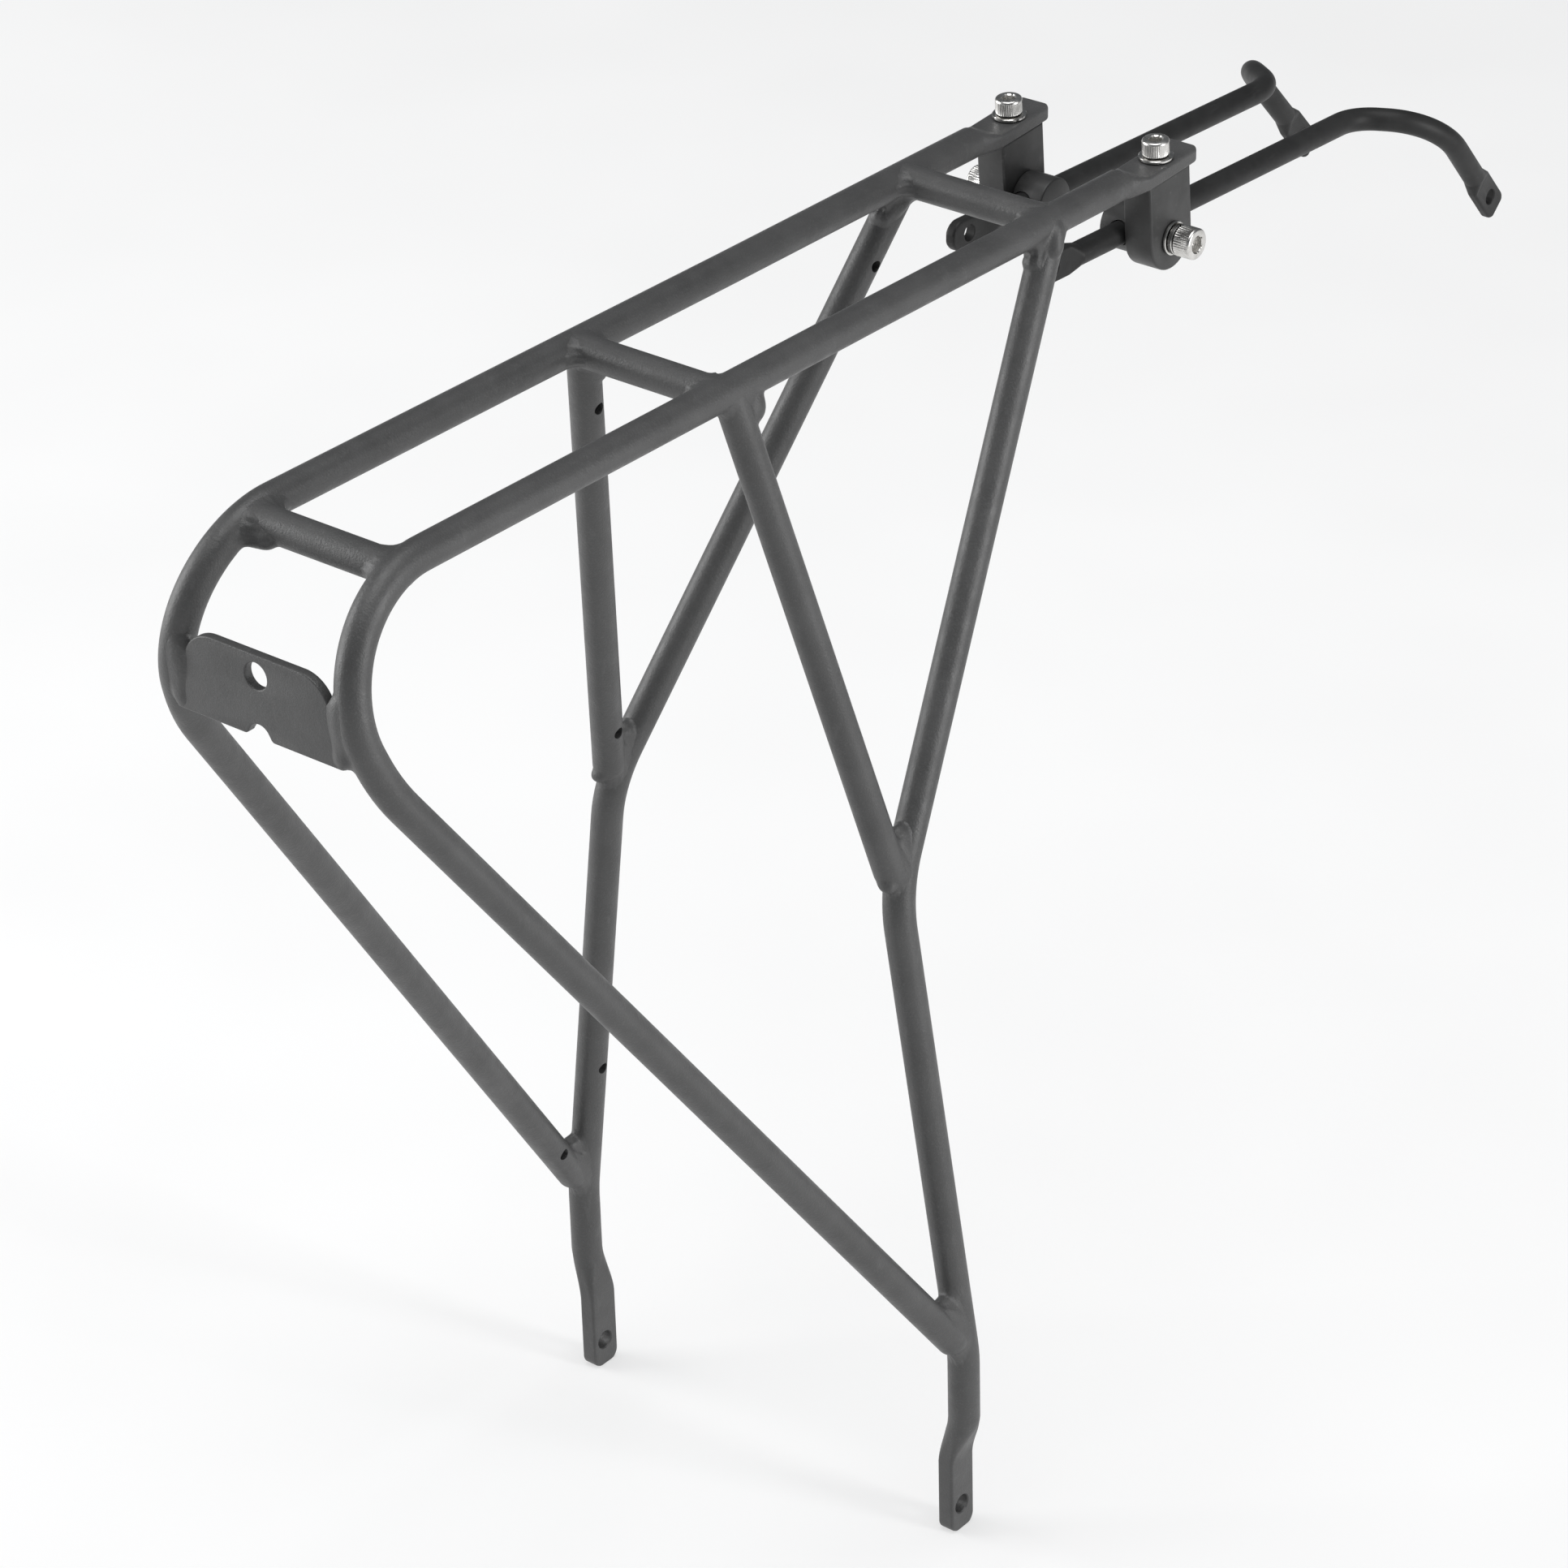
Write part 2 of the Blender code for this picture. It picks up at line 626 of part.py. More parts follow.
def build_screws(label, side, collection, cutters, steel):
    """The two screws of one side with their washers; returns the top pieces and the clamp's."""
    outward = Vector((side, 0, 0))
    flat_top = below_rail(side, -(FLAT_THICK / 2 + GAP))
    outer_face = below_rail(side, CLAMP_DROP) + outward * (BLOCK_THICK / 2 + GAP)
    plain_rise = WASHER_T + GAP
    spring_rise = plain_rise + SPRING_WASHER_T + GAP
    top = [
        washer("top_washer_" + label, flat_top, FLAT_UP, TOP_SCREW, WASHER_R, WASHER_T, collection, steel),
        socket_bolt(
            "top_bolt_" + label, flat_top + FLAT_UP * plain_rise, FLAT_UP, TOP_SCREW, TOP_SHANK,
            collection, cutters, steel,
        ),
    ]
    side_pieces = [
        washer(
            "clamp_washer_" + label, outer_face, outward, CLAMP_SCREW, WASHER_R, WASHER_T,
            collection, steel,
        ),
        washer(
            "spring_washer_" + label, outer_face + outward * plain_rise, outward, CLAMP_SCREW,
            SPRING_WASHER_R, SPRING_WASHER_T, collection, steel,
        ),
        socket_bolt(
            "clamp_bolt_" + label, outer_face + outward * spring_rise, outward, CLAMP_SCREW,
            CLAMP_SHANK, collection, cutters, steel,
        ),
    ]
    return top, side_pieces


def build_stay(label, side, collection, cutters, materials):
    """Everything that hangs from one rail end, parented to its swivel, tilt and slide axes."""
    black = materials["black"]
    block = build_block(label, side, collection, cutters, black)
    clamp = build_clamp(label, side, collection, cutters, black)
    rod = build_rod(label, side, collection, cutters, black)
    top_pieces, side_pieces = build_screws(label, side, collection, cutters, materials["steel"])
    for obj in (block, clamp, *top_pieces, *side_pieces):
        shade(obj)

    clamp_centre = below_rail(side, CLAMP_DROP)
    swivel = add_pivot("swivel_" + label, below_rail(side, BLOCK_DROP), collection)
    tilt = add_pivot("tilt_" + label, clamp_centre, collection)
    slide = add_pivot("slide_" + label, mirrored(rod_axis_point(clamp_centre.y), side), collection)
    parent_to(swivel, [block, *top_pieces, tilt])
    parent_to(tilt, [clamp, *side_pieces, slide])
    parent_to(slide, [rod])


def main():
    clear_scene()
    collection = new_collection("rear_rack")
    cutters = new_collection("cutters")
    frame_paint = new_material("frame_paint", (0.105, 0.105, 0.107), 0.48, 0.25)
    materials = {
        "black": new_material("black_satin", (0.032, 0.032, 0.033), 0.42, 0.2),
        "steel": new_material("stainless_steel", (0.62, 0.61, 0.58), 0.24, 1.0),
    }
    notchers = [
        build_frame_side(label, side, collection, cutters, frame_paint) for label, side in SIDES.items()
    ]
    build_crossbars(notchers, collection, frame_paint)
    build_light_plate(notchers, collection, frame_paint)
    for label, side in SIDES.items():
        build_stay(label, side, collection, cutters, materials)


main()
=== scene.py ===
"""Looks of the bicycle rear rack: painted and welded tubes, light plate, drop blocks, clamps and stay rods.

Lengths are millimetres until a mesh is made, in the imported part's frame: +Z up, +Y towards the
front of the bicycle, +X to its right, origin midway between the bolt holes of the feet.
"""

import json
import math

import bmesh
import bpy
import numpy as np
from mathutils import Matrix, Vector


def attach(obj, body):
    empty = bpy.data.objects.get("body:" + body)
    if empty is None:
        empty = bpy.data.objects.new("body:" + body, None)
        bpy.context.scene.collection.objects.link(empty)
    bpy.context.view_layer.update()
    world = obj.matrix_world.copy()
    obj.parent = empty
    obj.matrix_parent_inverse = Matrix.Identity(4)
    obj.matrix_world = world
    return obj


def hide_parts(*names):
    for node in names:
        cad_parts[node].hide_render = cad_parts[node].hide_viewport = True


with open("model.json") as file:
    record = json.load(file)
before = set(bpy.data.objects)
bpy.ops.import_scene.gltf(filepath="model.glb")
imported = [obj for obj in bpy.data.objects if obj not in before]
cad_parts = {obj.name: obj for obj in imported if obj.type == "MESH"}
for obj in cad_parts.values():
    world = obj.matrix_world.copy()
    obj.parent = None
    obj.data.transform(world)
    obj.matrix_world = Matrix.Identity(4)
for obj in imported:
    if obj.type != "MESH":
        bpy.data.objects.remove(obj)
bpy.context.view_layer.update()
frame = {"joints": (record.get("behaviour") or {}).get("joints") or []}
JOINTS = {joint["name"]: joint for joint in frame["joints"]}
MM = 0.001
SIDES = {"right": 1, "left": -1}

# Frame tubes, repeated from the part
TUBE_R = 5.0
RAIL_Z = 385.7
RAIL_X_REAR = 26.7
RAIL_X_MID = 26.9
RAIL_X_FRONT = 27.8
RAIL_MID_Y = 20.0
BEND_TOP = (26.8, -220.3, 385.7)
BEND_LOW = (36.3, -199.2, 329.7)
BEND_TOP_R = 34.0
BEND_LOW_R = 68.0
DIAGONAL_END = (77.9, -0.4, 57.9)
LEG_TOP = (27.5, 107.5, 385.7)
KNEE = (55.5, -5.8, 216.4)
ANKLE = (77.0, -0.4, 57.9)
KNEE_R = 40.0
ANKLE_R = 60.0
MID_STRUT_TOP = (26.7, -43.7, 385.7)
MID_STRUT_END = (55.2, -5.9, 219.0)
CROSSBAR_Y = {"front": 105.4, "mid": -47.8, "rear": -180.0}
CROSSBAR_REAR_DROP = 1.7

# How far short of their ends the tubes stop whose domes are buried in a weld
DIAGONAL_SHORT = 10.0
STRUT_SHORT = 5.0

# Pressed ends of the frame tubes
FLAT_THICK = 4.4
FLAT_WIDTH = 13.0
FLAT_ROUND_Y = 140.0
FLAT_RAMP = 8.5
FLAT_END_Y = 174.0
FLAT_CORNER_R = 3.2
FOOT_X = 73.4
FOOT_THICK = 5.7
FOOT_WIDTH = 11.2
FOOT_END = 9.5
FOOT_FLAT_TOP = 17.0
FOOT_ROUND_TOP = 34.0
FOOT_HOLE_R = 3.1
FOOT_CORNER_R = 3.6
FOOT_EASE = 0.7
RIM_R = 0.6
BAR_CORNER_R = 0.9
DOME = "dome"
DOME_TIP = 0.02

# Vent holes, as shares of the way down each straight tube
MID_STRUT_VENTS = (0.13, 0.88)
FRONT_STRUT_VENTS = (0.138,)
LEG_VENTS = (0.682,)
DIAGONAL_VENTS = (0.912,)
VENT_R = 1.9
VENT_DEPTH = 3.0

# Welds: the corners of the right side's boxes that hold them, and the reach of their fillets
WELD_BOXES = {
    "front": ((10, 78, 356), (46, 124, 396)),
    "mid": ((10, -66, 356), (46, -22, 396)),
    "rear": ((8, -198, 368), (42, -162, 396)),
    "knee": ((38, -30, 190), (72, 22, 262)),
    "ankle": ((62, -34, 36), (92, 14, 96)),
    "plate": ((12, -222, 324), (46, -192, 376)),
}
WELD_REACH = {"front": 5.5, "mid": 5.5, "rear": 7.0, "knee": 5.0, "ankle": 6.0, "plate": 3.6}
WELD_PHASE = {"right": 0.3, "left": 0.7}
BRACE_PHASE = 0.4
WELD_LAPS = 15
RIPPLE = 0.45
WANDER = 0.9
SINK = 0.12
LUMP_BLEND = 2.6
SLAB_INSET = 0.1
SLAB_TOP_DROP = 7.0

# Light plate
PLATE_REAR_Y = -208.8
PLATE_THICK = 3.0
PLATE_HALF = 29.5
PLATE_TOP_HALF = 26.6
PLATE_LOW_Z = 337.6
PLATE_TOP_Z = 362.6
PLATE_CORNER_R = 10.5
LIGHT_HOLE_R = 4.0
LIGHT_HOLE_Z = 356.2
NOTCH_HALF = 4.0
NOTCH_LIP_R = 1.5
PLATE_EDGE = 0.45

# Drop blocks, screws and clamps
BLOCK_THICK = 10.4
BLOCK_HALF = 10.5
BLOCK_DROP = 2.7
BLOCK_EDGE = 0.8
CLAMP_DROP = 23.2
TOP_SCREW = {"shank_r": 2.5, "head_r": 4.25, "head_h": 5.0, "hex": 4.0, "pitch": 0.8}
CLAMP_SCREW = {"shank_r": 3.0, "head_r": 5.0, "head_h": 6.0, "hex": 5.0, "pitch": 1.0}
TOP_SHANK = 16.0
CLAMP_SHANK = 12.9
HEX_DEPTH = 2.5
HEAD_LOW_EDGE = 0.3
HEAD_TOP_EDGE = 0.75
KNURLS = 36
KNURL_DEPTH = 0.16
KNURL_INSET = 0.12
THREAD_DEPTH = 0.28
THREAD_ROWS = 4
WASHER_R = 5.4
WASHER_T = 1.0
SPRING_WASHER_R = 4.9
SPRING_WASHER_T = 1.6
WASHER_EDGE = 0.22
SPRING_EDGE = 0.15
SPRING_RISE = 0.14
SPRING_GAP = math.radians(9)
GAP = 0.3
CLAMP_R = 8.0
CLAMP_LENGTH = 11.0
STEM_R = 4.2
STEM_LENGTH = 5.0
STEM_EDGE = 0.3
CLAMP_RIM = 0.6
THREAD_BORE = 4.0

# Stay rods
ROD_R = 3.75
ROD_X = 18.5
ROD_REAR_Y = 110.7
ROD_BEND_Y = 283.2
ROD_ELBOW = (41.0, 299.9, 356.9)
ROD_TIP = (39.0, 338.5, 314.2)
ROD_BEND_R = 16.0
ROD_ELBOW_R = 27.0
LEFT_SLID = 6.9
TIP_THICK = 3.4
TIP_WIDTH = 10.0
TIP_LENGTH = 16.5
TIP_RAMP = 5.0
TIP_CORNER_R = 2.6
REAR_CORNER_R = 4.6
TIP_HOLE_R = 2.6
TIP_HOLE_BACK = 8.0

# How fine the meshes are
RING = 48
ARC_STEP = math.radians(3)
QUARTER = RING // 4
FLAT_STEPS = 4
CORNER_STEPS = 6
PRESS_STEPS = 10
SCREW_STEPS = 144
WASHER_STEPS = 96
SPRING_STEPS = 80
CLAMP_STEPS = 72
BLOCK_STEPS = 32
SHARP_ANGLE = math.radians(32)
WELD_SHARP_ANGLE = math.radians(75)
WELD_STEP = 0.55
NUDGE = 0.05
TINY = 0.01

UP = np.array((0.0, 0.0, 1.0))
FORWARD = np.array((0.0, 1.0, 0.0))
FLAT_UP = np.array(JOINTS["swivel_right"]["axis"])
FLAT_SLOPE = -FLAT_UP[1] / FLAT_UP[2]
ROD_ALONG = np.array(JOINTS["slide_right"]["axis"])


# ---------------------------------------------------------------- vectors and paths

def unit(vector):
    vector = np.asarray(vector, float)
    return vector / np.linalg.norm(vector)


def mirrored(point, side):
    return np.array((point[0] * side, point[1], point[2]), float)


def eased(value):
    value = np.clip(value, 0, 1)
    return value * value * (3 - 2 * value)


def turned_about(vector, axis, angle):
    vector, axis = np.asarray(vector, float), unit(axis)
    return (
        vector * math.cos(angle) + np.cross(axis, vector) * math.sin(angle)
        + axis * (axis @ vector) * (1 - math.cos(angle))
    )


def arc_between(before, corner, after, radius):
    """Points of the arc that rounds a corner."""
    to_before, to_after = unit(before - corner), unit(after - corner)
    half = math.acos(to_before @ to_after) / 2
    centre = corner + unit(to_before + to_after) * radius / math.sin(half)
    first = corner + to_before * radius / math.tan(half) - centre
    turn = math.pi - 2 * half
    steps = max(2, math.ceil(turn / ARC_STEP))
    axis = np.cross(to_after, to_before)
    return [centre + turned_about(first, axis, turn * i / steps) for i in range(steps + 1)]


def rounded_path(corners, radii):
    """A path through the end points, with an arc of the given radius at each corner between."""
    path = [corners[0]]
    for before, corner, after, radius in zip(corners, corners[1:], corners[2:], radii):
        path += arc_between(before, corner, after, radius) if radius else [corner]
    path.append(corners[-1])
    return path


def joint_at(name):
    return np.array(JOINTS[name]["pos_m"]) / MM


def rail_corners(side):
    front = (RAIL_X_FRONT, FLAT_ROUND_Y, RAIL_Z)
    middle = (RAIL_X_MID, RAIL_MID_Y, RAIL_Z)
    return [mirrored(point, side) for point in (front, middle, BEND_TOP, BEND_LOW, DIAGONAL_END)]


def rail_path(side):
    """The rail's axis; its low end stops inside the leg."""
    corners = rail_corners(side)
    corners[-1] = corners[-1] - unit(corners[-1] - corners[-2]) * DIAGONAL_SHORT
    return rounded_path(corners, [0, BEND_TOP_R, BEND_LOW_R])


def leg_path(side):
    low = (ANKLE[0], 0, FOOT_ROUND_TOP)
    return rounded_path([mirrored(point, side) for point in (LEG_TOP, KNEE, ANKLE, low)], [KNEE_R, ANKLE_R])


def crossbar_ends(place):
    height = RAIL_Z - (CROSSBAR_REAR_DROP if place == "rear" else 0)
    end = (RAIL_X_REAR, CROSSBAR_Y[place], height)
    return [mirrored(end, -1), mirrored(end, 1)]


# ---------------------------------------------------------------- meshes

def new_object(name, points, faces, materials, body, node=None):
    """An object from millimetre points; it rides on a CAD body and may stand for a CAD node."""
    mesh = bpy.data.meshes.new(name)
    mesh.from_pydata([tuple(point) for point in np.asarray(points) * MM], [], faces)
    mesh.validate()
    return adopt(name, mesh, materials, body, node)


def adopt(name, mesh, material, body, node):
    obj = bpy.data.objects.new(name, mesh)
    bpy.context.scene.collection.objects.link(obj)
    mesh.materials.append(material)
    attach(obj, body)
    if node:
        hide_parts(node)
    return obj


def face_outward(mesh):
    cage = bmesh.new()
    cage.from_mesh(mesh)
    bmesh.ops.recalc_face_normals(cage, faces=cage.faces)
    cage.to_mesh(mesh)
    cage.free()


def finish_mesh(obj, sharp=SHARP_ANGLE):
    """Turn the faces outward and shade them smooth, except across sharp edges."""
    face_outward(obj.data)
    obj.data.shade_smooth()
    obj.data.set_sharp_from_angle(angle=sharp)
    return obj


def baked(obj):
    """Apply the modifiers and remove the cutters that they used."""
    cutters = [m.object for m in obj.modifiers if m.type == "BOOLEAN"]
    bpy.context.view_layer.update()
    depsgraph = bpy.context.evaluated_depsgraph_get()
    mesh = bpy.data.meshes.new_from_object(obj.evaluated_get(depsgraph))
    obj.modifiers.clear()
    obj.data = mesh
    for cutter in cutters:
        bpy.data.objects.remove(cutter, do_unlink=True)
    return obj


def basis(direction):
    """Two unit vectors square to a direction and to each other."""
    direction = unit(direction)
    helper = np.array((1.0, 0, 0)) if abs(direction[0]) < 0.9 else np.array((0, 1.0, 0))
    first = unit(np.cross(direction, helper))
    return first, np.cross(direction, first)


def turned_mesh(profile, base, direction, steps):
    """Points and faces of a closed turned body; the profile runs from axis to axis.

    Each of its points is (radius, height) or (radius, height, change), where change gives what is
    added to the radius at a share of the turn.
    """
    first, second = basis(direction)
    direction = unit(direction)
    points, rows = [], []
    for radius, height, *change in profile:
        if radius == 0:
            rows.append([len(points)])
            points.append(base + direction * height)
            continue
        row = []
        for i in range(steps):
            angle = 2 * math.pi * i / steps
            reach = radius + (change[0](i / steps) if change else 0)
            row.append(len(points))
            points.append(
                base + direction * height + first * reach * math.cos(angle) + second * reach * math.sin(angle)
            )
        rows.append(row)
    faces = []
    for low, high in zip(rows, rows[1:]):
        for i in range(steps):
            j = (i + 1) % steps
            if len(low) == 1:
                faces.append((low[0], high[j], high[i]))
            elif len(high) == 1:
                faces.append((low[i], low[j], high[0]))
            else:
                faces.append((low[i], low[j], high[j], high[i]))
    return points, faces


def ring_mesh(profile, base, direction, steps):
    """A turned ring: the profile is a closed loop that stays off the axis."""
    first, second = basis(direction)
    direction = unit(direction)
    count = len(profile)
    points = [
        base + direction * height + radius * (first * math.cos(a) + second * math.sin(a))
        for a in (2 * math.pi * i / steps for i in range(steps)) for radius, height in profile
    ]
    faces = []
    for i in range(steps):
        for k in range(count):
            a, b = i * count + k, i * count + (k + 1) % count
            c, d = ((i + 1) % steps) * count + (k + 1) % count, ((i + 1) % steps) * count + k
            faces.append((a, b, c, d))
    return points, faces


def round_cutter(centre, direction, radius, half_depth, flare=0.0, thick=0.0, steps=32):
    """A drill: a cylinder, flared where it leaves a plate of the given half thickness."""
    profile = [(0, -half_depth), (radius + flare, -half_depth)]
    if flare:
        profile += [(radius + flare, -thick), (radius, flare - thick)]
        profile += [(radius, thick - flare), (radius + flare, thick)]
    profile += [(radius + flare, half_depth), (0, half_depth)]
    points, faces = turned_mesh(profile, np.asarray(centre, float), direction, steps)
    mesh = bpy.data.meshes.new("drill")
    mesh.from_pydata([tuple(point) for point in np.asarray(points) * MM], [], faces)
    obj = bpy.data.objects.new("drill", mesh)
    bpy.context.scene.collection.objects.link(obj)
    obj.hide_render = True
    face_outward(mesh)
    return obj


def cut(obj, cutters):
    for cutter in cutters:
        modifier = obj.modifiers.new("cut", "BOOLEAN")
        modifier.operation = "DIFFERENCE"
        modifier.solver = "EXACT"
        modifier.object = cutter
    return baked(obj)


# ---------------------------------------------------------------- tubes

def section(radius, half_thick, half_width, part):
    """A ring of (along the normal, across) offsets: round at part 0, a rounded bar at part 1."""
    corner = min(half_thick, radius + (BAR_CORNER_R - radius) * part)
    pressed = eased(part / 0.25)
    rows = []
    for i in range(RING):
        step = i % (RING // 2)
        face = 1 if step <= QUARTER else -1
        step = step if step <= QUARTER else RING // 2 - step
        side = 1
        if i >= RING // 2:
            face, side = -face, -1
        if step <= FLAT_STEPS:
            bar = (half_thick, (half_width - corner) * step / FLAT_STEPS)
        elif step <= FLAT_STEPS + CORNER_STEPS:
            turn = math.pi / 2 * (step - FLAT_STEPS) / CORNER_STEPS
            bar = (half_thick - corner * (1 - math.cos(turn)), half_width - corner * (1 - math.sin(turn)))
        else:
            left = (QUARTER - step) / (QUARTER - FLAT_STEPS - CORNER_STEPS)
            bar = ((half_thick - corner) * left, half_width)
        angle = math.pi / 2 * step / QUARTER
        circle = (radius * math.cos(angle), radius * math.sin(angle))
        rows.append((
            face * (circle[0] + (bar[0] - circle[0]) * pressed),
            side * (circle[1] + (bar[1] - circle[1]) * pressed),
        ))
    return np.array(rows)


def tangents(path):
    steps = [unit(b - a) for a, b in zip(path, path[1:])]
    return [steps[0]] + [unit(a + b) for a, b in zip(steps, steps[1:])] + [steps[-1]]


def carried_normals(path, normal):
    """The normal carried along the path without twist, from its start."""
    normals = []
    for tangent in tangents(path):
        normal = unit(normal - tangent * (normal @ tangent))
        normals.append(normal)
    return normals


def press(distance, radius, spec):
    """(ring, shift) of a pressed end at a distance past the start of its ramp."""
    length, corner = spec["length"], spec["corner"]
    part = min(max(distance / spec["ramp"], 0.0), 1.0)
    part += (eased(part) - part) * spec.get("ease", 0)
    half_thick = radius + (spec["thick"] / 2 - radius) * part
    half_width = radius + (spec["width"] / 2 - radius) * part
    past = max(0.0, distance - (length - corner))
    half_width -= corner - math.sqrt(max(0.0, corner ** 2 - past ** 2))
    rim = max(0.0, distance - (length - RIM_R))
    shrink = RIM_R - math.sqrt(max(0.0, RIM_R ** 2 - rim ** 2))
    ring = section(radius, half_thick, max(half_width, half_thick), part)
    size = np.array((half_thick, max(half_width, half_thick)))
    return ring * (1 - shrink / size), spec.get("shift", 0) * part


def press_distances(spec):
    """Stations along a pressed end: its ramp, its rounded corners and its rounded rim."""
    quarter = [math.sin(math.pi / 2 * i / PRESS_STEPS) for i in range(PRESS_STEPS + 1)]
    ramp = [spec["ramp"] * (i + 1) / PRESS_STEPS for i in range(PRESS_STEPS)]
    turn = [spec["length"] - spec["corner"] + (spec["corner"] - RIM_R) * q for q in quarter[:-1]]
    rim = [spec["length"] - RIM_R + RIM_R * q for q in quarter[::2]]
    return ramp + turn + rim


def domed(out, point, normal, ring, radius):
    """Stations of a dome that closes a tube's end."""
    turns = [math.pi / 2 * (i + 1) / PRESS_STEPS for i in range(PRESS_STEPS)]
    return [
        (point + out * radius * math.sin(a), normal, ring * max(math.cos(a), DOME_TIP), 0.0) for a in turns
    ]


def pressed_tube(path, radius, normals, start=None, end=None):
    """Points and faces of a closed tube; its start and its end may be pressed flat or domed."""
    ring = section(radius, radius, radius, 0)
    stations = [(point, normal, ring, 0.0) for point, normal in zip(path, normals)]
    for spec, place, out in ((start, 0, unit(path[0] - path[1])), (end, -1, unit(path[-1] - path[-2]))):
        if not spec:
            continue
        if spec == DOME:
            added = domed(out, path[place], normals[place], ring, radius)
        else:
            added = [
                (path[place] + out * distance, normals[place], *press(distance, radius, spec))
                for distance in press_distances(spec)
            ]
        stations = added[::-1] + stations if place == 0 else stations + added
    points = []
    for (point, normal, ring, shift), tangent in zip(stations, tangents([s[0] for s in stations])):
        across = np.cross(tangent, normal)
        points += [point + normal * (n + shift) + across * c for n, c in ring]
    count = len(stations)
    faces = [
        (r * RING + i, r * RING + (i + 1) % RING, (r + 1) * RING + (i + 1) % RING, (r + 1) * RING + i)
        for r in range(count - 1) for i in range(RING)
    ]
    faces.append(tuple(reversed(range(RING))))
    faces.append(tuple(range((count - 1) * RING, count * RING)))
    return points, faces


def projected_normals(path, reference):
    return [unit(reference - tangent * (reference @ tangent)) for tangent in tangents(path)]


def vents(start, end, shares, side):
    """Drills for the vent holes on the inboard face of a straight tube, at shares of its length."""
    start, end = mirrored(start, side), mirrored(end, side)
    axis = unit(end - start)
    inward = np.array((-side, 0.0, 0.0))
    inward = unit(inward - axis * (inward @ axis))
    return [
        round_cutter(start + (end - start) * share + inward * TUBE_R, inward, VENT_R, VENT_DEPTH, steps=20)
        for share in shares
    ]


# ---------------------------------------------------------------- welds

def path_field(path, radius):
    """Signed distance to a round tube that follows a path, and the direction away from it."""
    path = np.array(path, float)

    def field(points):
        best = np.full(len(points), 1e9)
        away = np.zeros_like(points)
        for a, b in zip(path, path[1:]):
            line = b - a
            along = np.clip(((points - a) @ line) / (line @ line), 0, 1)
            offset = points - a - along[:, None] * line
            distance = np.sqrt((offset * offset).sum(1))
            nearer = distance < best
            best[nearer] = distance[nearer]
            away[nearer] = offset[nearer]
        return best - radius, away / np.maximum(best, TINY)[:, None]

    return field


def slab_field(low, high):
    """Signed distance to a box between two corners, and the direction away from it."""
    low, high = np.minimum(low, high), np.maximum(low, high)
    middle, half = (low + high) / 2, (high - low) / 2

    def field(points):
        offset = points - middle
        outside = np.abs(offset) - half
        beyond = np.maximum(outside, 0)
        distance = np.sqrt((beyond * beyond).sum(1))
        away = np.sign(offset) * np.where(distance[:, None] > 0, beyond, outside == outside.max(1)[:, None])
        size = np.maximum(np.sqrt((away * away).sum(1)), TINY)
        return distance + np.minimum(outside.max(axis=1), 0), away / size[:, None]

    return field


def soft_min(a, b, reach):
    """The smaller of two distances, with a fillet of the given reach where they are near each other."""
    reach = np.maximum(reach, TINY)
    h = np.maximum(reach - np.abs(a - b), 0) / reach
    return np.minimum(a, b) - h * h * reach / 4


def near_part(path, low, high, margin=12.0):
    """The stretch of a path that passes near a box."""
    path = np.array(path)
    dense = []
    for a, b in zip(path, path[1:]):
        steps = max(1, int(np.linalg.norm(b - a) // 4))
        dense += [a + (b - a) * i / steps for i in range(steps)]
    dense.append(path[-1])
    kept = [i for i, p in enumerate(dense) if (p > low - margin).all() and (p < high + margin).all()]
    return dense[max(kept[0] - 1, 0):kept[-1] + 2]


def surface_net(field, low, high, step):
    """A closed quad mesh of the field's zero surface inside a box."""
    axes = [np.arange(l, h + step, step) for l, h in zip(low, high)]
    grid = np.stack(np.meshgrid(*axes, indexing="ij"), -1)
    shape = grid.shape[:3]
    values = field(grid.reshape(-1, 3)).reshape(shape)
    for axis in range(3):
        edge = [slice(None)] * 3
        for edge[axis] in (0, -1):
            values[tuple(edge)] = np.maximum(values[tuple(edge)], step)
    total = np.zeros(tuple(n - 1 for n in shape) + (3,))
    hits = np.zeros(tuple(n - 1 for n in shape))
    crossings = []
    for axis in range(3):
        first, second = [slice(None)] * 3, [slice(None)] * 3
        first[axis], second[axis] = slice(0, -1), slice(1, None)
        a, b = values[tuple(first)], values[tuple(second)]
        crosses = (a < 0) != (b < 0)
        share = np.where(crosses, a / np.where(crosses, a - b, 1), 0)
        point = grid[tuple(first)] + share[..., None] * (grid[tuple(second)] - grid[tuple(first)])
        crossings.append((axis, crosses, a < 0))
        others = [k for k in range(3) if k != axis]
        for du in (0, 1):
            for dv in (0, 1):
                pick = [slice(None)] * 3
                pick[others[0]] = slice(du, shape[others[0]] - 1 + du)
                pick[others[1]] = slice(dv, shape[others[1]] - 1 + dv)
                hits += crosses[tuple(pick)]
                total += np.where(crosses[tuple(pick)][..., None], point[tuple(pick)], 0)
    active = hits > 0
    index = np.full(hits.shape, -1)
    index[active] = np.arange(active.sum())
    points = total[active] / hits[active][:, None]
    faces = []
    for axis, crosses, inside in crossings:
        u, v = [k for k in range(3) if k != axis]
        if axis == 1:
            u, v = v, u
        where = np.argwhere(crosses)
        for k in (u, v):
            where = where[(where[:, k] > 0) & (where[:, k] < shape[k] - 1)]
        step_u, step_v = np.eye(3, dtype=int)[u], np.eye(3, dtype=int)[v]
        corners = [where - step_u - step_v, where - step_v, where, where - step_u]
        quads = np.stack([index[tuple(c.T)] for c in corners], 1)
        flip = ~inside[tuple(where.T)]
        quads[flip] = quads[flip][:, ::-1]
        faces += quads.tolist()
    return points, faces


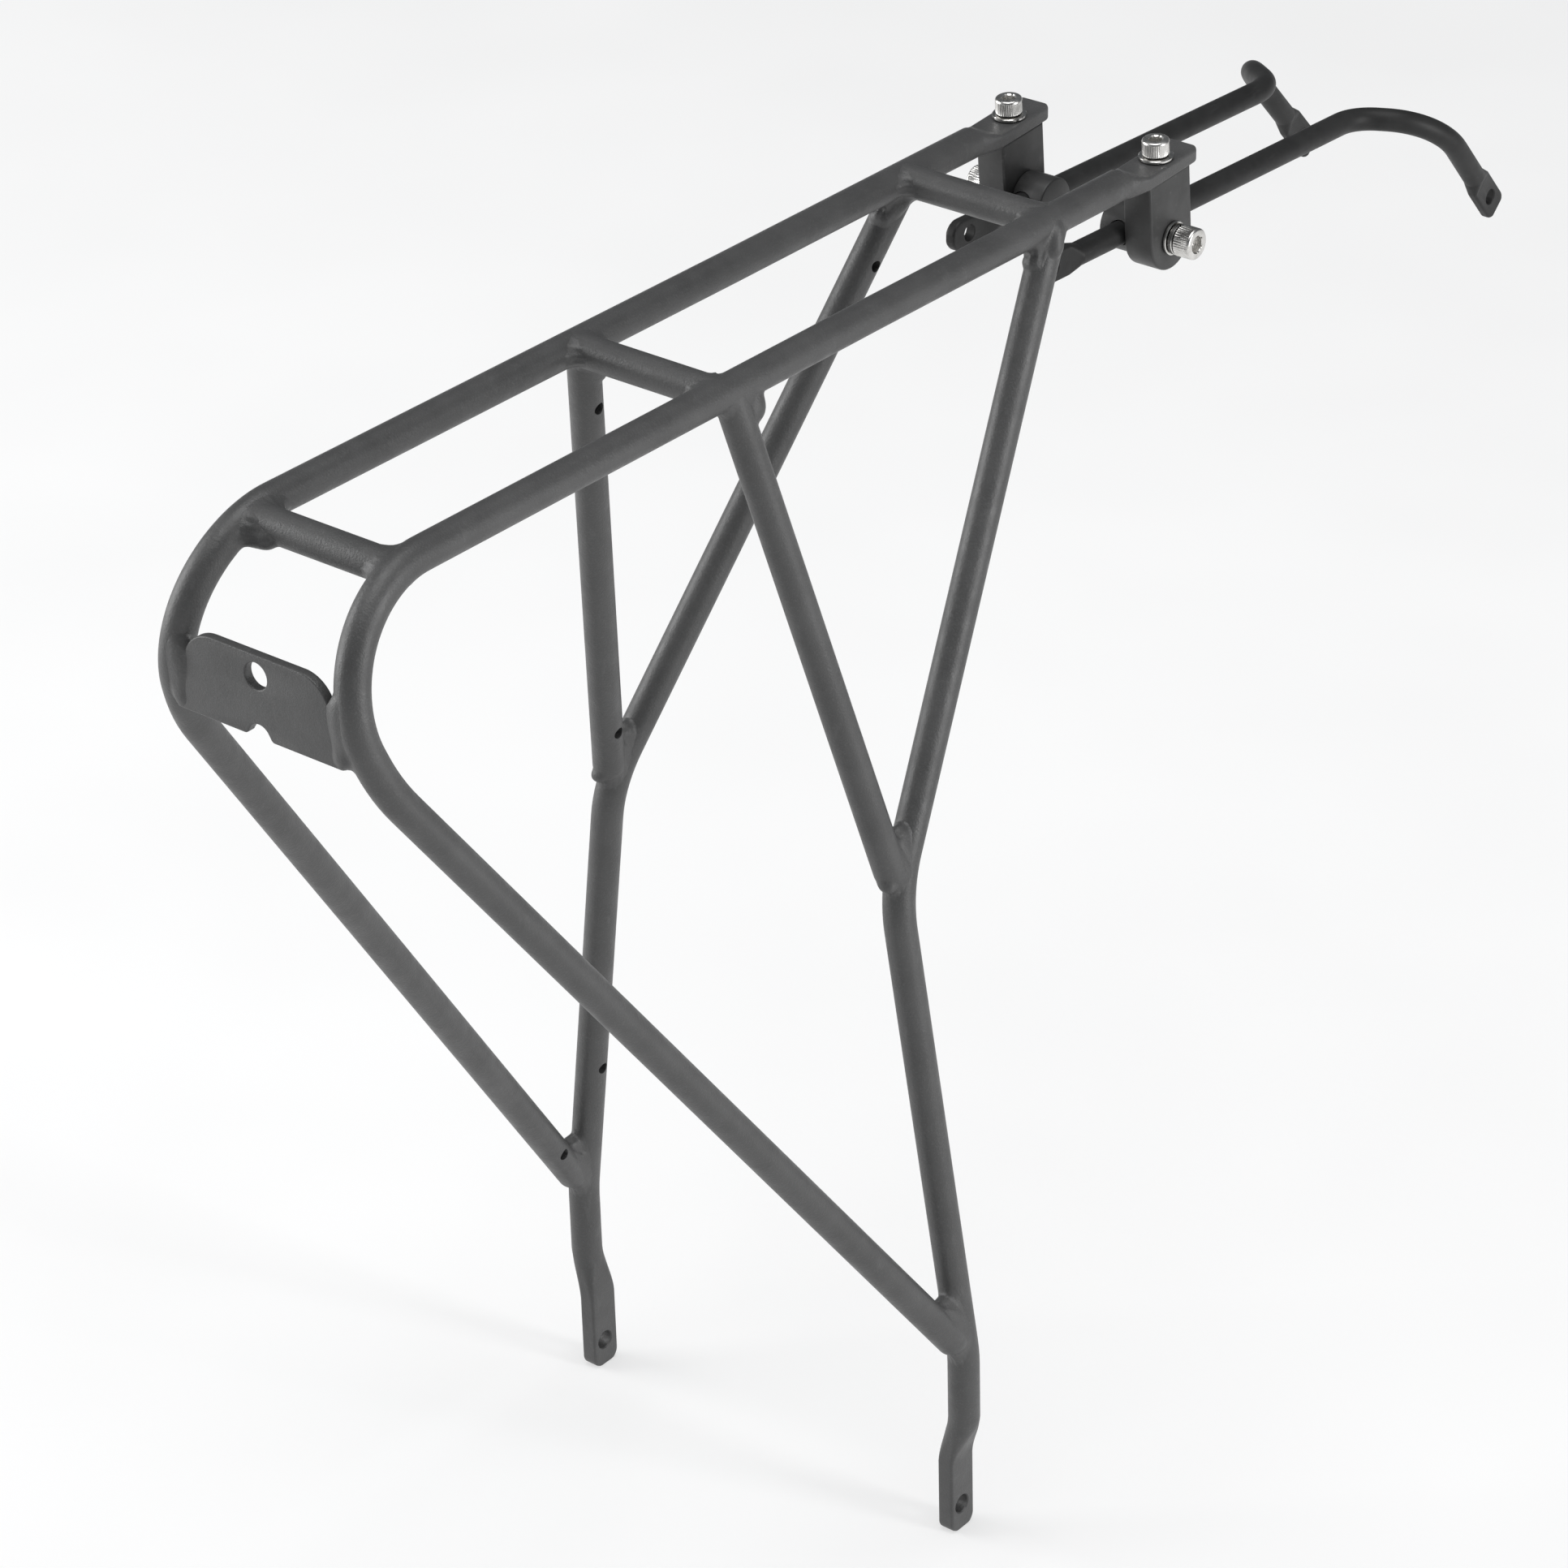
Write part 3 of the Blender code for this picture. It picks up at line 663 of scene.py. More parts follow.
def settled(points, field, step, rounds=3):
    """Move points onto the field's zero surface along its slope."""
    for _ in range(rounds):
        value = field(points)
        rises = [field(points + d) - field(points - d) for d in np.eye(3) * NUDGE]
        slope = np.stack([rise / (2 * NUDGE) for rise in rises], 1)
        size = np.maximum((slope * slope).sum(1), 0.05)
        points = points - slope * np.clip(value / size, -step / 2, step / 2)[:, None]
    return points


def ripple_about(path, phase):
    """Ripples of a weld, counted by the angle about a tube's axis."""
    start, along = np.array(path[0], float), unit(np.array(path[-1]) - path[0])
    first, second = basis(along)

    def ripple(points):
        offset = points - start
        angle = np.arctan2(offset @ second, offset @ first)
        lap = angle * WELD_LAPS / (2 * math.pi) + phase + 0.12 * np.sin(3 * angle + phase)
        slow = np.sin(2 * angle + phase * 5) * 0.6 + np.sin(3 * angle + phase * 9) * 0.4
        return RIPPLE * np.cos(2 * math.pi * lap) + WANDER * slow

    return ripple


def weld(name, host, guests, low, high, blend, lumps=()):
    """A rippled fillet weld where guests meet a host; each guest is (field, ripple or None).

    The fillet fades where two surfaces run the same way, so that it fills only the corners. Away from
    the seams it sinks below the tubes.
    """
    low, high = np.minimum(low, high), np.maximum(low, high)

    def field(points):
        body, away = host(points)
        parts = [body]
        for guest, ripple in guests:
            distance, facing = guest(points)
            parts.append(distance)
            corner = np.clip(1 - (away * facing).sum(1), 0, 1.25)
            reach = (blend + (ripple(points) if ripple else 0)) * corner
            nearer = distance < body
            body = soft_min(body, distance, reach)
            away = np.where(nearer[:, None], facing, away)
        for centre, radius in lumps:
            body = soft_min(body, np.linalg.norm(points - np.asarray(centre), axis=1) - radius, LUMP_BLEND)
        outside = np.sort(np.maximum(np.stack(parts), 0), axis=0)
        seam = np.hypot(outside[0], outside[1])
        return np.maximum(body + SINK, seam - 1.5 * blend - 1)

    points, faces = surface_net(field, low, high, WELD_STEP)
    points = settled(points, field, WELD_STEP)
    obj = new_object(name, points, faces, POWDER, "frame")
    return finish_mesh(obj, WELD_SHARP_ANGLE)


# ---------------------------------------------------------------- materials

class Nodes:
    """Small helper for building a node material."""

    def __init__(self, name):
        self.material = bpy.data.materials.new(name)
        self.material.use_nodes = True
        self.tree = self.material.node_tree
        self.shader = self.tree.nodes["Principled BSDF"]
        self.place = self.tree.nodes.new("ShaderNodeTexCoord").outputs["Object"]

    def node(self, kind, inputs=None, **settings):
        made = self.tree.nodes.new(kind)
        for key, value in settings.items():
            setattr(made, key, value)
        for key, value in (inputs or {}).items():
            if isinstance(value, bpy.types.NodeSocket):
                self.tree.links.new(value, made.inputs[key])
            else:
                made.inputs[key].default_value = value
        return made

    def noise(self, scale, detail=2.0, roughness=0.5, stretch=None):
        place = self.place
        if stretch:
            place = self.node("ShaderNodeMapping", {"Vector": place, "Scale": stretch}).outputs[0]
        return self.node(
            "ShaderNodeTexNoise", {"Vector": place, "Scale": scale, "Detail": detail, "Roughness": roughness}
        ).outputs["Fac"]

    def ramp(self, factor, low, high, at=(0.35, 0.65)):
        made = self.node("ShaderNodeValToRGB", {"Fac": factor})
        for element, position, colour in zip(made.color_ramp.elements, at, (low, high)):
            element.position = position
            element.color = colour if len(colour) == 4 else (*colour, 1)
        return made.outputs["Color"]

    def spread(self, factor, low, high, at=(0.3, 0.7)):
        return self.node(
            "ShaderNodeMapRange",
            {"Value": factor, "From Min": at[0], "From Max": at[1], "To Min": low, "To Max": high},
        ).outputs["Result"]

    def mix(self, factor, low, high):
        made = self.node("ShaderNodeMix", data_type="RGBA")
        for socket, value in zip((made.inputs[0], made.inputs[6], made.inputs[7]), (factor, low, high)):
            if isinstance(value, bpy.types.NodeSocket):
                self.tree.links.new(value, socket)
            elif isinstance(value, float):
                socket.default_value = value
            else:
                socket.default_value = (*value, 1)
        return made.outputs[2]

    def bump(self, height, strength, distance, normal=None):
        inputs = {"Height": height, "Strength": strength, "Distance": distance}
        if normal:
            inputs["Normal"] = normal
        return self.node("ShaderNodeBump", inputs).outputs["Normal"]

    def set(self, **values):
        for key, value in values.items():
            socket = self.shader.inputs[key.replace("_", " ")]
            if isinstance(value, bpy.types.NodeSocket):
                self.tree.links.new(value, socket)
            else:
                socket.default_value = value
        return self.material


def grey(value, tint=0.0):
    return (value * (1 + tint), value, value * (1 - tint))


def powder_coat():
    """Satin dark grey powder coat: orange peel, fine grain, faint mottling and dulled scuffs."""
    m = Nodes("frame_powder_coat")
    mottle = m.noise(60, 3)
    grain = m.noise(1700, 3, 0.6)
    peel = m.noise(600, 1)
    scuff = m.noise(240, 4, 0.65, (1, 1, 0.35))
    base = m.ramp(mottle, grey(0.052), grey(0.064))
    base = m.mix(m.spread(grain, 0, 0.45, (0.55, 0.72)), base, grey(0.10))
    base = m.mix(m.spread(scuff, 0, 0.25, (0.62, 0.72)), base, grey(0.12))
    rough = m.spread(m.noise(180, 3), 0.40, 0.52)
    normal = m.bump(grain, 0.75, 0.00016)
    normal = m.bump(peel, 0.3, 0.00022, normal)
    return m.set(Base_Color=base, Roughness=rough, Normal=normal, Metallic=0.0, Specular_IOR_Level=0.55)


def black_satin(name, value, low, high, shine, stretch=None):
    """Black anodised or coated metal with fine marks and slightly rubbed patches."""
    m = Nodes(name)
    marks = m.noise(420, 4, 0.6, stretch)
    rubbed = m.noise(95, 4, 0.6)
    base = m.ramp(rubbed, grey(value * 0.85), grey(value * 1.2))
    base = m.mix(m.spread(marks, 0, 0.35, (0.60, 0.75)), base, grey(value * 2.4))
    normal = m.bump(marks, 0.12, 0.00008)
    normal = m.bump(m.noise(2400, 2, 0.5), 0.12, 0.00005, normal)
    rough = m.spread(m.noise(160, 3), low, high)
    return m.set(Base_Color=base, Roughness=rough, Normal=normal, Metallic=0.0, Specular_IOR_Level=shine)


def stainless(name, low, high, wear):
    """Bright stainless steel with fine turning marks and dulled spots."""
    m = Nodes(name)
    spots = m.noise(380, 4, 0.6)
    fine = m.noise(3200, 2, 0.6)
    base = m.ramp(spots, (0.60, 0.59, 0.57), (0.74, 0.73, 0.71))
    base = m.mix(m.spread(fine, 0, wear, (0.55, 0.75)), base, (0.35, 0.34, 0.33))
    rough = m.spread(spots, low, high)
    normal = m.bump(fine, 0.08, 0.00002)
    return m.set(Base_Color=base, Roughness=rough, Normal=normal, Metallic=1.0)


POWDER = powder_coat()
ROD_BLACK = black_satin("rod_satin_black", 0.022, 0.42, 0.54, 0.22, (1, 0.2, 1))
BLOCK_BLACK = black_satin("block_satin_black", 0.040, 0.36, 0.50, 0.38)
STEEL = stainless("screw_stainless", 0.24, 0.36, 0.35)
WASHER_STEEL = stainless("washer_stainless", 0.16, 0.26, 0.2)


# ---------------------------------------------------------------- frame

def build_rail(label, side):
    spec = {
        "ramp": FLAT_RAMP, "length": FLAT_END_Y - FLAT_ROUND_Y, "thick": FLAT_THICK, "width": FLAT_WIDTH,
        "corner": FLAT_CORNER_R,
    }
    path = rail_path(side)
    points, faces = pressed_tube(path, TUBE_R, carried_normals(path, UP), start=spec, end=DOME)
    points = np.array(points)
    pivot = joint_at("swivel_" + label)
    past = np.clip((points[:, 1] - FLAT_ROUND_Y) / FLAT_RAMP, 0, 1)
    points[:, 2] += past * FLAT_SLOPE * (points[:, 1] - pivot[1])
    obj = new_object("tube_rail_" + label, points, faces, POWDER, "frame", "rail_" + label)
    finish_mesh(obj)
    bolt = round_cutter(
        pivot + FLAT_UP * BLOCK_DROP, FLAT_UP, TOP_SCREW["shank_r"] + GAP, 3 * TUBE_R, 0.3, FLAT_THICK / 2
    )
    return finish_mesh(cut(obj, [bolt] + vents(BEND_LOW, DIAGONAL_END, DIAGONAL_VENTS, side)))


def build_leg(label, side):
    spec = {
        "ramp": FOOT_ROUND_TOP - FOOT_FLAT_TOP, "length": FOOT_ROUND_TOP + FOOT_END, "thick": FOOT_THICK,
        "width": FOOT_WIDTH, "corner": FOOT_CORNER_R, "shift": FOOT_X - ANKLE[0], "ease": FOOT_EASE,
    }
    path = leg_path(side)
    normals = projected_normals(path, np.array((side, 0.0, 0.0)))
    points, faces = pressed_tube(path, TUBE_R, normals, end=spec)
    obj = new_object("tube_leg_" + label, points, faces, POWDER, "frame", "leg_" + label)
    finish_mesh(obj)
    hole = round_cutter(
        (FOOT_X * side, 0, 0), (1, 0, 0), FOOT_HOLE_R, 3 * TUBE_R, 0.35, FOOT_THICK / 2
    )
    drills = vents(LEG_TOP, KNEE, FRONT_STRUT_VENTS, side) + vents(KNEE, ANKLE, LEG_VENTS, side)
    return finish_mesh(cut(obj, [hole] + drills))


def strut_path(side):
    top, end = mirrored(MID_STRUT_TOP, side), mirrored(MID_STRUT_END, side)
    return [top, end - unit(end - top) * STRUT_SHORT]


def build_struts(label, side):
    path = strut_path(side)
    points, faces = pressed_tube(path, TUBE_R, carried_normals(path, FORWARD), end=DOME)
    obj = new_object(
        "tube_mid_strut_" + label, points, faces, POWDER, "frame", "mid_strut_" + label
    )
    finish_mesh(obj)
    return finish_mesh(cut(obj, vents(MID_STRUT_TOP, MID_STRUT_END, MID_STRUT_VENTS, side)))


def build_crossbars():
    for place in CROSSBAR_Y:
        path = crossbar_ends(place)
        points, faces = pressed_tube(path, TUBE_R, carried_normals(path, UP))
        obj = new_object(
            "tube_crossbar_" + place, points, faces, POWDER, "frame", "crossbar_" + place
        )
        finish_mesh(obj)


def build_plate():
    def arc(centre_x, centre_z, radius, start, end, steps=16):
        angles = [math.radians(start + (end - start) * i / steps) for i in range(steps + 1)]
        return [(centre_x + radius * math.cos(a), centre_z + radius * math.sin(a)) for a in angles]

    corner, lip, low, top = PLATE_CORNER_R, NOTCH_LIP_R, PLATE_LOW_Z, PLATE_TOP_Z
    outline = [(PLATE_HALF, low)]
    outline += arc(PLATE_TOP_HALF - corner, top - corner, corner, 0, 90)
    outline += arc(corner - PLATE_TOP_HALF, top - corner, corner, 90, 180)
    outline += [(-PLATE_HALF, low)]
    outline += arc(-NOTCH_HALF - lip, low + lip, lip, 270, 340, 6)
    outline += arc(0, low, NOTCH_HALF, 140, 40)
    outline += arc(NOTCH_HALF + lip, low + lip, lip, 200, 270, 6)
    hole = arc(0, LIGHT_HOLE_Z, LIGHT_HOLE_R, 360, 360 / 48, 47)
    middle = np.array((0, PLATE_REAR_Y + PLATE_THICK / 2, 0))
    return rounded_sheet(
        "sheet_light_plate", [outline, hole], PLATE_THICK, PLATE_EDGE, middle, (1, 0, 0), (0, 0, 1),
        POWDER, "frame", "light_plate",
    )


def rounded_sheet(name, loops, thickness, edge, middle, across, up, material, body, node):
    """A flat outline extruded to both sides of its middle plane, with rounded edges."""
    curve = bpy.data.curves.new(name, "CURVE")
    curve.dimensions = "2D"
    curve.fill_mode = "BOTH"
    curve.extrude = (thickness / 2 - edge) * MM
    curve.bevel_depth = edge * MM
    curve.bevel_resolution = 3
    curve.offset = -edge * MM
    for loop in loops:
        spline = curve.splines.new("POLY")
        spline.points.add(len(loop) - 1)
        for spline_point, (x, z) in zip(spline.points, loop):
            spline_point.co = (x * MM, z * MM, 0, 1)
        spline.use_cyclic_u = True
    holder = bpy.data.objects.new(name + "_outline", curve)
    bpy.context.scene.collection.objects.link(holder)
    bpy.context.view_layer.update()
    depsgraph = bpy.context.evaluated_depsgraph_get()
    mesh = bpy.data.meshes.new_from_object(holder.evaluated_get(depsgraph))
    bpy.data.objects.remove(holder, do_unlink=True)
    away = np.cross(across, up)
    turn = Matrix([[across[i], up[i], away[i], middle[i] * MM] for i in range(3)] + [[0, 0, 0, 1]])
    mesh.transform(turn)
    cage = bmesh.new()
    cage.from_mesh(mesh)
    bmesh.ops.remove_doubles(cage, verts=cage.verts, dist=1e-6)
    cage.to_mesh(mesh)
    cage.free()
    mesh.materials.clear()
    return finish_mesh(adopt(name, mesh, material, body, node))


def bead(start, end, count, radius, swell=0.0):
    """A row of overlapping drops from start to end, each as (centre, radius)."""
    start, end = np.array(start), np.array(end)
    shares = [i / (count - 1) for i in range(count)]
    return [(start + (end - start) * t, radius + swell * math.sin(7.1 * i)) for i, t in enumerate(shares)]


# Uneven weld metal of the right side's joints, in the order that it was laid
LUMPS = {
    "front": bead((31.8, 103.8, 384.9), (33.2, 101.5, 379.2), 5, 1.5, 0.2)
    + bead((30.2, 95.6, 376.1), (26.8, 96.2, 375.6), 3, 1.0, 0.2)
    + bead((25.3, 98.9, 377.6), (24.3, 101.6, 380.1), 3, 1.2, 0.2),
    "mid": bead((28.2, -35.4, 380.4), (28.8, -36.0, 376.8), 4, 3.0, 0.15)
    + bead((22.9, -43.0, 380.5), (24.6, -38.9, 374.9), 4, 1.5, 0.3),
    "rear": bead((26.0, -183.5, 380.8), (16.8, -184.0, 381.0), 5, 2.0, 0.4),
    "knee": bead((54.6, -10.4, 220.9), (56.8, -10.0, 220.2), 3, 1.1, 0.15)
    + bead((53.0, -1.0, 233.5), (53.6, -2.5, 229.0), 3, 2.4, 0.2),
    "ankle": bead((75.0, -8.2, 78.4), (76.3, -5.8, 73.5), 3, 2.2, 0.2),
    "plate": bead((28.9, -207.1, 356.8), (29.2, -207.0, 340.4), 8, 2.1, 0.5),
}
LUMPS_ON_LEFT_ONLY = ("rear",)


def build_welds(label, side):
    rail, leg, strut = rail_path(side), leg_path(side), strut_path(side)
    phase = WELD_PHASE[label]
    slab = slab_field(
        mirrored((0, PLATE_REAR_Y + SLAB_INSET, PLATE_LOW_Z + SLAB_INSET), side),
        mirrored((PLATE_HALF, PLATE_REAR_Y + PLATE_THICK - SLAB_INSET, PLATE_TOP_Z - SLAB_TOP_DROP), side),
    )
    for place, box in WELD_BOXES.items():
        corners = [mirrored(corner, side) for corner in box]
        low, high = np.minimum(*corners), np.maximum(*corners)

        def tube(path):
            return path_field(near_part(path, low, high), TUBE_R)

        host = leg if place in ("knee", "ankle") else rail
        if place == "plate":
            guests = [(slab, None)]
        elif place == "knee":
            guests = [(tube(strut), ripple_about(strut, phase))]
        elif place == "ankle":
            guests = [(tube(rail), ripple_about(rail[-2:], phase))]
        else:
            bar = crossbar_ends(place)
            guests = [(path_field(bar, TUBE_R), ripple_about(bar, phase))]
            brace = {"front": leg, "mid": strut}.get(place)
            if brace:
                guests.append((tube(brace), ripple_about(brace[:2], phase + BRACE_PHASE)))
        spots = [] if side > 0 and place in LUMPS_ON_LEFT_ONLY else LUMPS[place]
        lumps = [(mirrored(spot, side), radius) for spot, radius in spots]
        weld(f"weld_{place}_{label}", tube(host), guests, low, high, WELD_REACH[place], lumps)


# ---------------------------------------------------------------- blocks, clamps and screws

def build_block(label, side):
    arc = [math.pi * (1 + i / BLOCK_STEPS) for i in range(BLOCK_STEPS + 1)]
    top = CLAMP_DROP - BLOCK_DROP
    outline = [(BLOCK_HALF, top), (-BLOCK_HALF, top)]
    outline += [(BLOCK_HALF * math.cos(a), BLOCK_HALF * math.sin(a)) for a in arc]
    centre = joint_at("tilt_" + label)
    block = rounded_sheet(
        "body_drop_block_" + label, [outline], BLOCK_THICK, BLOCK_EDGE, centre,
        np.cross(FLAT_UP, (-1, 0, 0)), FLAT_UP,
        BLOCK_BLACK, "block_" + label, "drop_block_" + label,
    )
    outward = np.array((side, 0.0, 0.0))
    inner = centre - outward * BLOCK_THICK / 2
    depth = TOP_SHANK - (FLAT_THICK / 2 + 2 * GAP + WASHER_T + BLOCK_DROP) + GAP
    cutters = [
        round_cutter(joint_at("swivel_" + label), FLAT_UP, TOP_SCREW["shank_r"] + GAP, depth),
        round_cutter(centre, outward, CLAMP_SCREW["shank_r"] + GAP, BLOCK_THICK),
        round_cutter(inner, outward, STEM_R + GAP, STEM_LENGTH + GAP),
    ]
    return finish_mesh(cut(block, cutters))


def build_clamp(label, side):
    outward = np.array((side, 0.0, 0.0))
    centre = joint_at("tilt_" + label)
    base = centre - outward * (BLOCK_THICK / 2 + GAP)
    edge = [(math.cos(math.pi / 2 * i / 4), math.sin(math.pi / 2 * i / 4)) for i in range(5)]
    rim = CLAMP_RIM
    profile = [(0, STEM_LENGTH), (STEM_R - STEM_EDGE, STEM_LENGTH)]
    profile += [(STEM_R, STEM_LENGTH - STEM_EDGE), (STEM_R, 0)]
    profile += [(CLAMP_R - rim + rim * s, -rim + rim * c) for c, s in edge]
    profile += [(CLAMP_R - rim + rim * c, rim - CLAMP_LENGTH - rim * s) for c, s in edge]
    profile += [(0, -CLAMP_LENGTH)]
    points, faces = turned_mesh(profile, base, outward, CLAMP_STEPS)
    obj = new_object(
        "body_rod_clamp_" + label, points, faces, BLOCK_BLACK, "clamp_" + label,
        "rod_clamp_" + label,
    )
    finish_mesh(obj)
    axis_point = np.array((ROD_X * side, centre[1], centre[2]))
    cross = round_cutter(axis_point, ROD_ALONG, ROD_R + GAP, 4 * CLAMP_R, steps=48)
    thread = round_cutter(base + outward * STEM_LENGTH, outward, CLAMP_SCREW["shank_r"] + GAP, THREAD_BORE)
    return finish_mesh(cut(obj, [cross, thread]))


def build_screw(name, seat, direction, screw, shank, body, node):
    """A socket cap screw: knurled head with a chamfered rim and a hexagon socket, threaded shank."""
    head_r, head_h, shank_r = screw["head_r"], screw["head_h"], screw["shank_r"]
    pitch = screw["pitch"]
    apothem, deep = screw["hex"] / 2, head_h - HEX_DEPTH

    def knurl(share):
        return -KNURL_DEPTH * (0.5 + 0.5 * math.cos(2 * math.pi * KNURLS * share))

    def thread(height):
        def change(share):
            lap = (height / pitch + share) % 1
            return -THREAD_DEPTH * (1 - abs(2 * lap - 1))
        return change

    def hexagon(share):
        angle = (share * 6 % 1 - 0.5) * math.pi / 3
        return apothem / math.cos(angle) - apothem

    profile = [(0, -shank), (shank_r - 0.5, -shank), (shank_r - 0.1, 0.4 - shank)]
    count = int((shank - 1.6) / pitch * THREAD_ROWS)
    heights = [0.6 - shank + pitch * i / THREAD_ROWS for i in range(count)]
    profile += [(shank_r, height, thread(height)) for height in heights]
    profile += [(shank_r, -0.7), (shank_r, -0.1), (shank_r + 0.1, 0), (head_r - HEAD_LOW_EDGE, 0)]
    shoulder = head_h - HEAD_TOP_EDGE
    profile += [(head_r, HEAD_LOW_EDGE), (head_r, HEAD_LOW_EDGE + KNURL_INSET, knurl)]
    profile += [(head_r, shoulder - KNURL_INSET, knurl)]
    profile += [(head_r, shoulder), (head_r - 0.10, head_h - 0.40), (head_r - 0.35, head_h - 0.12)]
    profile += [(head_r - 0.62, head_h), (apothem + 0.45, head_h), (apothem, head_h - 0.38, hexagon)]
    profile += [(apothem, deep, hexagon), (0.6 * apothem, deep), (0, deep - 0.5)]
    points, faces = turned_mesh(profile, seat, direction, SCREW_STEPS)
    return finish_mesh(new_object(name, points, faces, STEEL, body, node))


def build_washer(name, seat, direction, screw, body, node):
    inner, edge = screw["shank_r"] + GAP, WASHER_EDGE
    profile = [
        (inner, edge), (inner, WASHER_T - edge), (inner + edge, WASHER_T), (WASHER_R - edge, WASHER_T),
        (WASHER_R, WASHER_T - edge), (WASHER_R, edge), (WASHER_R - edge, 0), (inner + edge, 0),
    ]
    points, faces = ring_mesh(profile, seat, direction, WASHER_STEPS)
    return finish_mesh(new_object(name, points, faces, WASHER_STEEL, body, node))


def build_spring_washer(name, seat, direction, screw, body, node):
    """A split ring of square wire whose ends stand slightly apart."""
    inner, outer = screw["shank_r"] + GAP, SPRING_WASHER_R
    first, second = basis(direction)
    direction = unit(direction)
    steps, edge = SPRING_STEPS, SPRING_EDGE
    square = [
        (inner + edge, 0), (outer - edge, 0), (outer, edge), (outer, 1 - edge), (outer - edge, 1),
        (inner + edge, 1), (inner, 1 - edge), (inner, edge),
    ]
    thick = SPRING_WASHER_T - SPRING_RISE
    points, faces = [], []
    for i in range(steps + 1):
        angle = SPRING_GAP / 2 + (2 * math.pi - SPRING_GAP) * i / steps
        for radius, height in square:
            lift = height * thick + SPRING_RISE * i / steps
            outward = first * math.cos(angle) + second * math.sin(angle)
            points.append(seat + direction * lift + radius * outward)
    count = len(square)
    for i in range(steps):
        for k in range(count):
            a, b = i * count + k, i * count + (k + 1) % count
            faces.append((a, b, b + count, a + count))
    faces.append(tuple(range(count)))
    faces.append(tuple(reversed(range(steps * count, (steps + 1) * count))))
    return finish_mesh(new_object(name, points, faces, WASHER_STEEL, body, node))


def build_screws(label, side):
    outward = np.array((side, 0.0, 0.0))
    flat_top = joint_at("swivel_" + label) + FLAT_UP * (BLOCK_DROP + FLAT_THICK / 2 + GAP)
    face = joint_at("tilt_" + label) + outward * (BLOCK_THICK / 2 + GAP)
    plain = WASHER_T + GAP
    spring = plain + SPRING_WASHER_T + GAP
    block, clamp = "block_" + label, "clamp_" + label
    build_washer("ring_top_washer_" + label, flat_top, FLAT_UP, TOP_SCREW, block, "top_washer_" + label)
    build_screw(
        "screw_top_bolt_" + label, flat_top + FLAT_UP * plain, FLAT_UP, TOP_SCREW, TOP_SHANK, block,
        "top_bolt_" + label,
    )
    build_washer("ring_clamp_washer_" + label, face, outward, CLAMP_SCREW, clamp, "clamp_washer_" + label)
    build_spring_washer(
        "ring_spring_washer_" + label, face + outward * plain, outward, CLAMP_SCREW, clamp,
        "spring_washer_" + label,
    )
    build_screw(
        "screw_clamp_bolt_" + label, face + outward * spring, outward, CLAMP_SCREW, CLAMP_SHANK, clamp,
        "clamp_bolt_" + label,
    )


# ---------------------------------------------------------------- stay rods

def build_rod(label, side):
    slid = ROD_ALONG * (LEFT_SLID if side < 0 else 0)
    clamp = joint_at("tilt_right")
    lateral = np.array((side, 0.0, 0.0))

    def on_axis(along):
        rise = ROD_ALONG[2] / ROD_ALONG[1] * (along - clamp[1])
        return mirrored((ROD_X, along, clamp[2] + rise), side) + slid

    length = TIP_LENGTH + TIP_RAMP
    rear, bend = on_axis(ROD_REAR_Y), on_axis(ROD_BEND_Y)
    elbow, tip = mirrored(ROD_ELBOW, side) + slid, mirrored(ROD_TIP, side) + slid
    out = unit(tip - elbow)
    rear_start, tip_start = rear + ROD_ALONG * length, tip - out * length
    path = rounded_path([rear_start, bend, elbow, tip_start], [ROD_BEND_R, ROD_ELBOW_R])
    end = {"ramp": TIP_RAMP, "length": length, "thick": TIP_THICK, "width": TIP_WIDTH}
    normals = projected_normals(path, lateral)
    points, faces = pressed_tube(
        path, ROD_R, normals, start={**end, "corner": REAR_CORNER_R}, end={**end, "corner": TIP_CORNER_R}
    )
    obj = new_object(
        "rod_stay_" + label, points, faces, ROD_BLACK, "rod_" + label, "stay_rod_" + label
    )
    finish_mesh(obj)
    holes = [
        round_cutter(centre, axis, TIP_HOLE_R, 3 * ROD_R, 0.25, TIP_THICK / 2)
        for centre, axis in (
            (rear + ROD_ALONG * TIP_HOLE_BACK, lateral), (tip - out * TIP_HOLE_BACK, normals[-1]),
        )
    ]
    return finish_mesh(cut(obj, holes))


# ---------------------------------------------------------------- floor, light and camera

FLOOR_Z = -9.6
FLOOR_HALF = 90000.0
CAMERA_AT = (925.05, -1120.48, 1036.14)
VIEW_AZIMUTH = math.radians(39.27)
VIEW_ELEVATION = math.radians(28.97)
VIEW_ROLL = math.radians(-0.92)
LENS = 126.94


def build_floor():
    m = Nodes("floor_pale")
    m.set(Base_Color=m.ramp(m.noise(6, 2), grey(0.40), grey(0.42)), Roughness=0.9, Specular_IOR_Level=0.1)
    m.set(Emission_Color=(1, 1, 1, 1), Emission_Strength=0.56)
    half, z = FLOOR_HALF * MM, FLOOR_Z * MM
    mesh = bpy.data.meshes.new("floor")
    corners = [(-half, -half, z), (half, -half, z), (half, half, z), (-half, half, z)]
    mesh.from_pydata(corners, [], [(0, 1, 2, 3)])
    mesh.materials.append(m.material)
    floor = bpy.data.objects.new("floor", mesh)
    bpy.context.scene.collection.objects.link(floor)


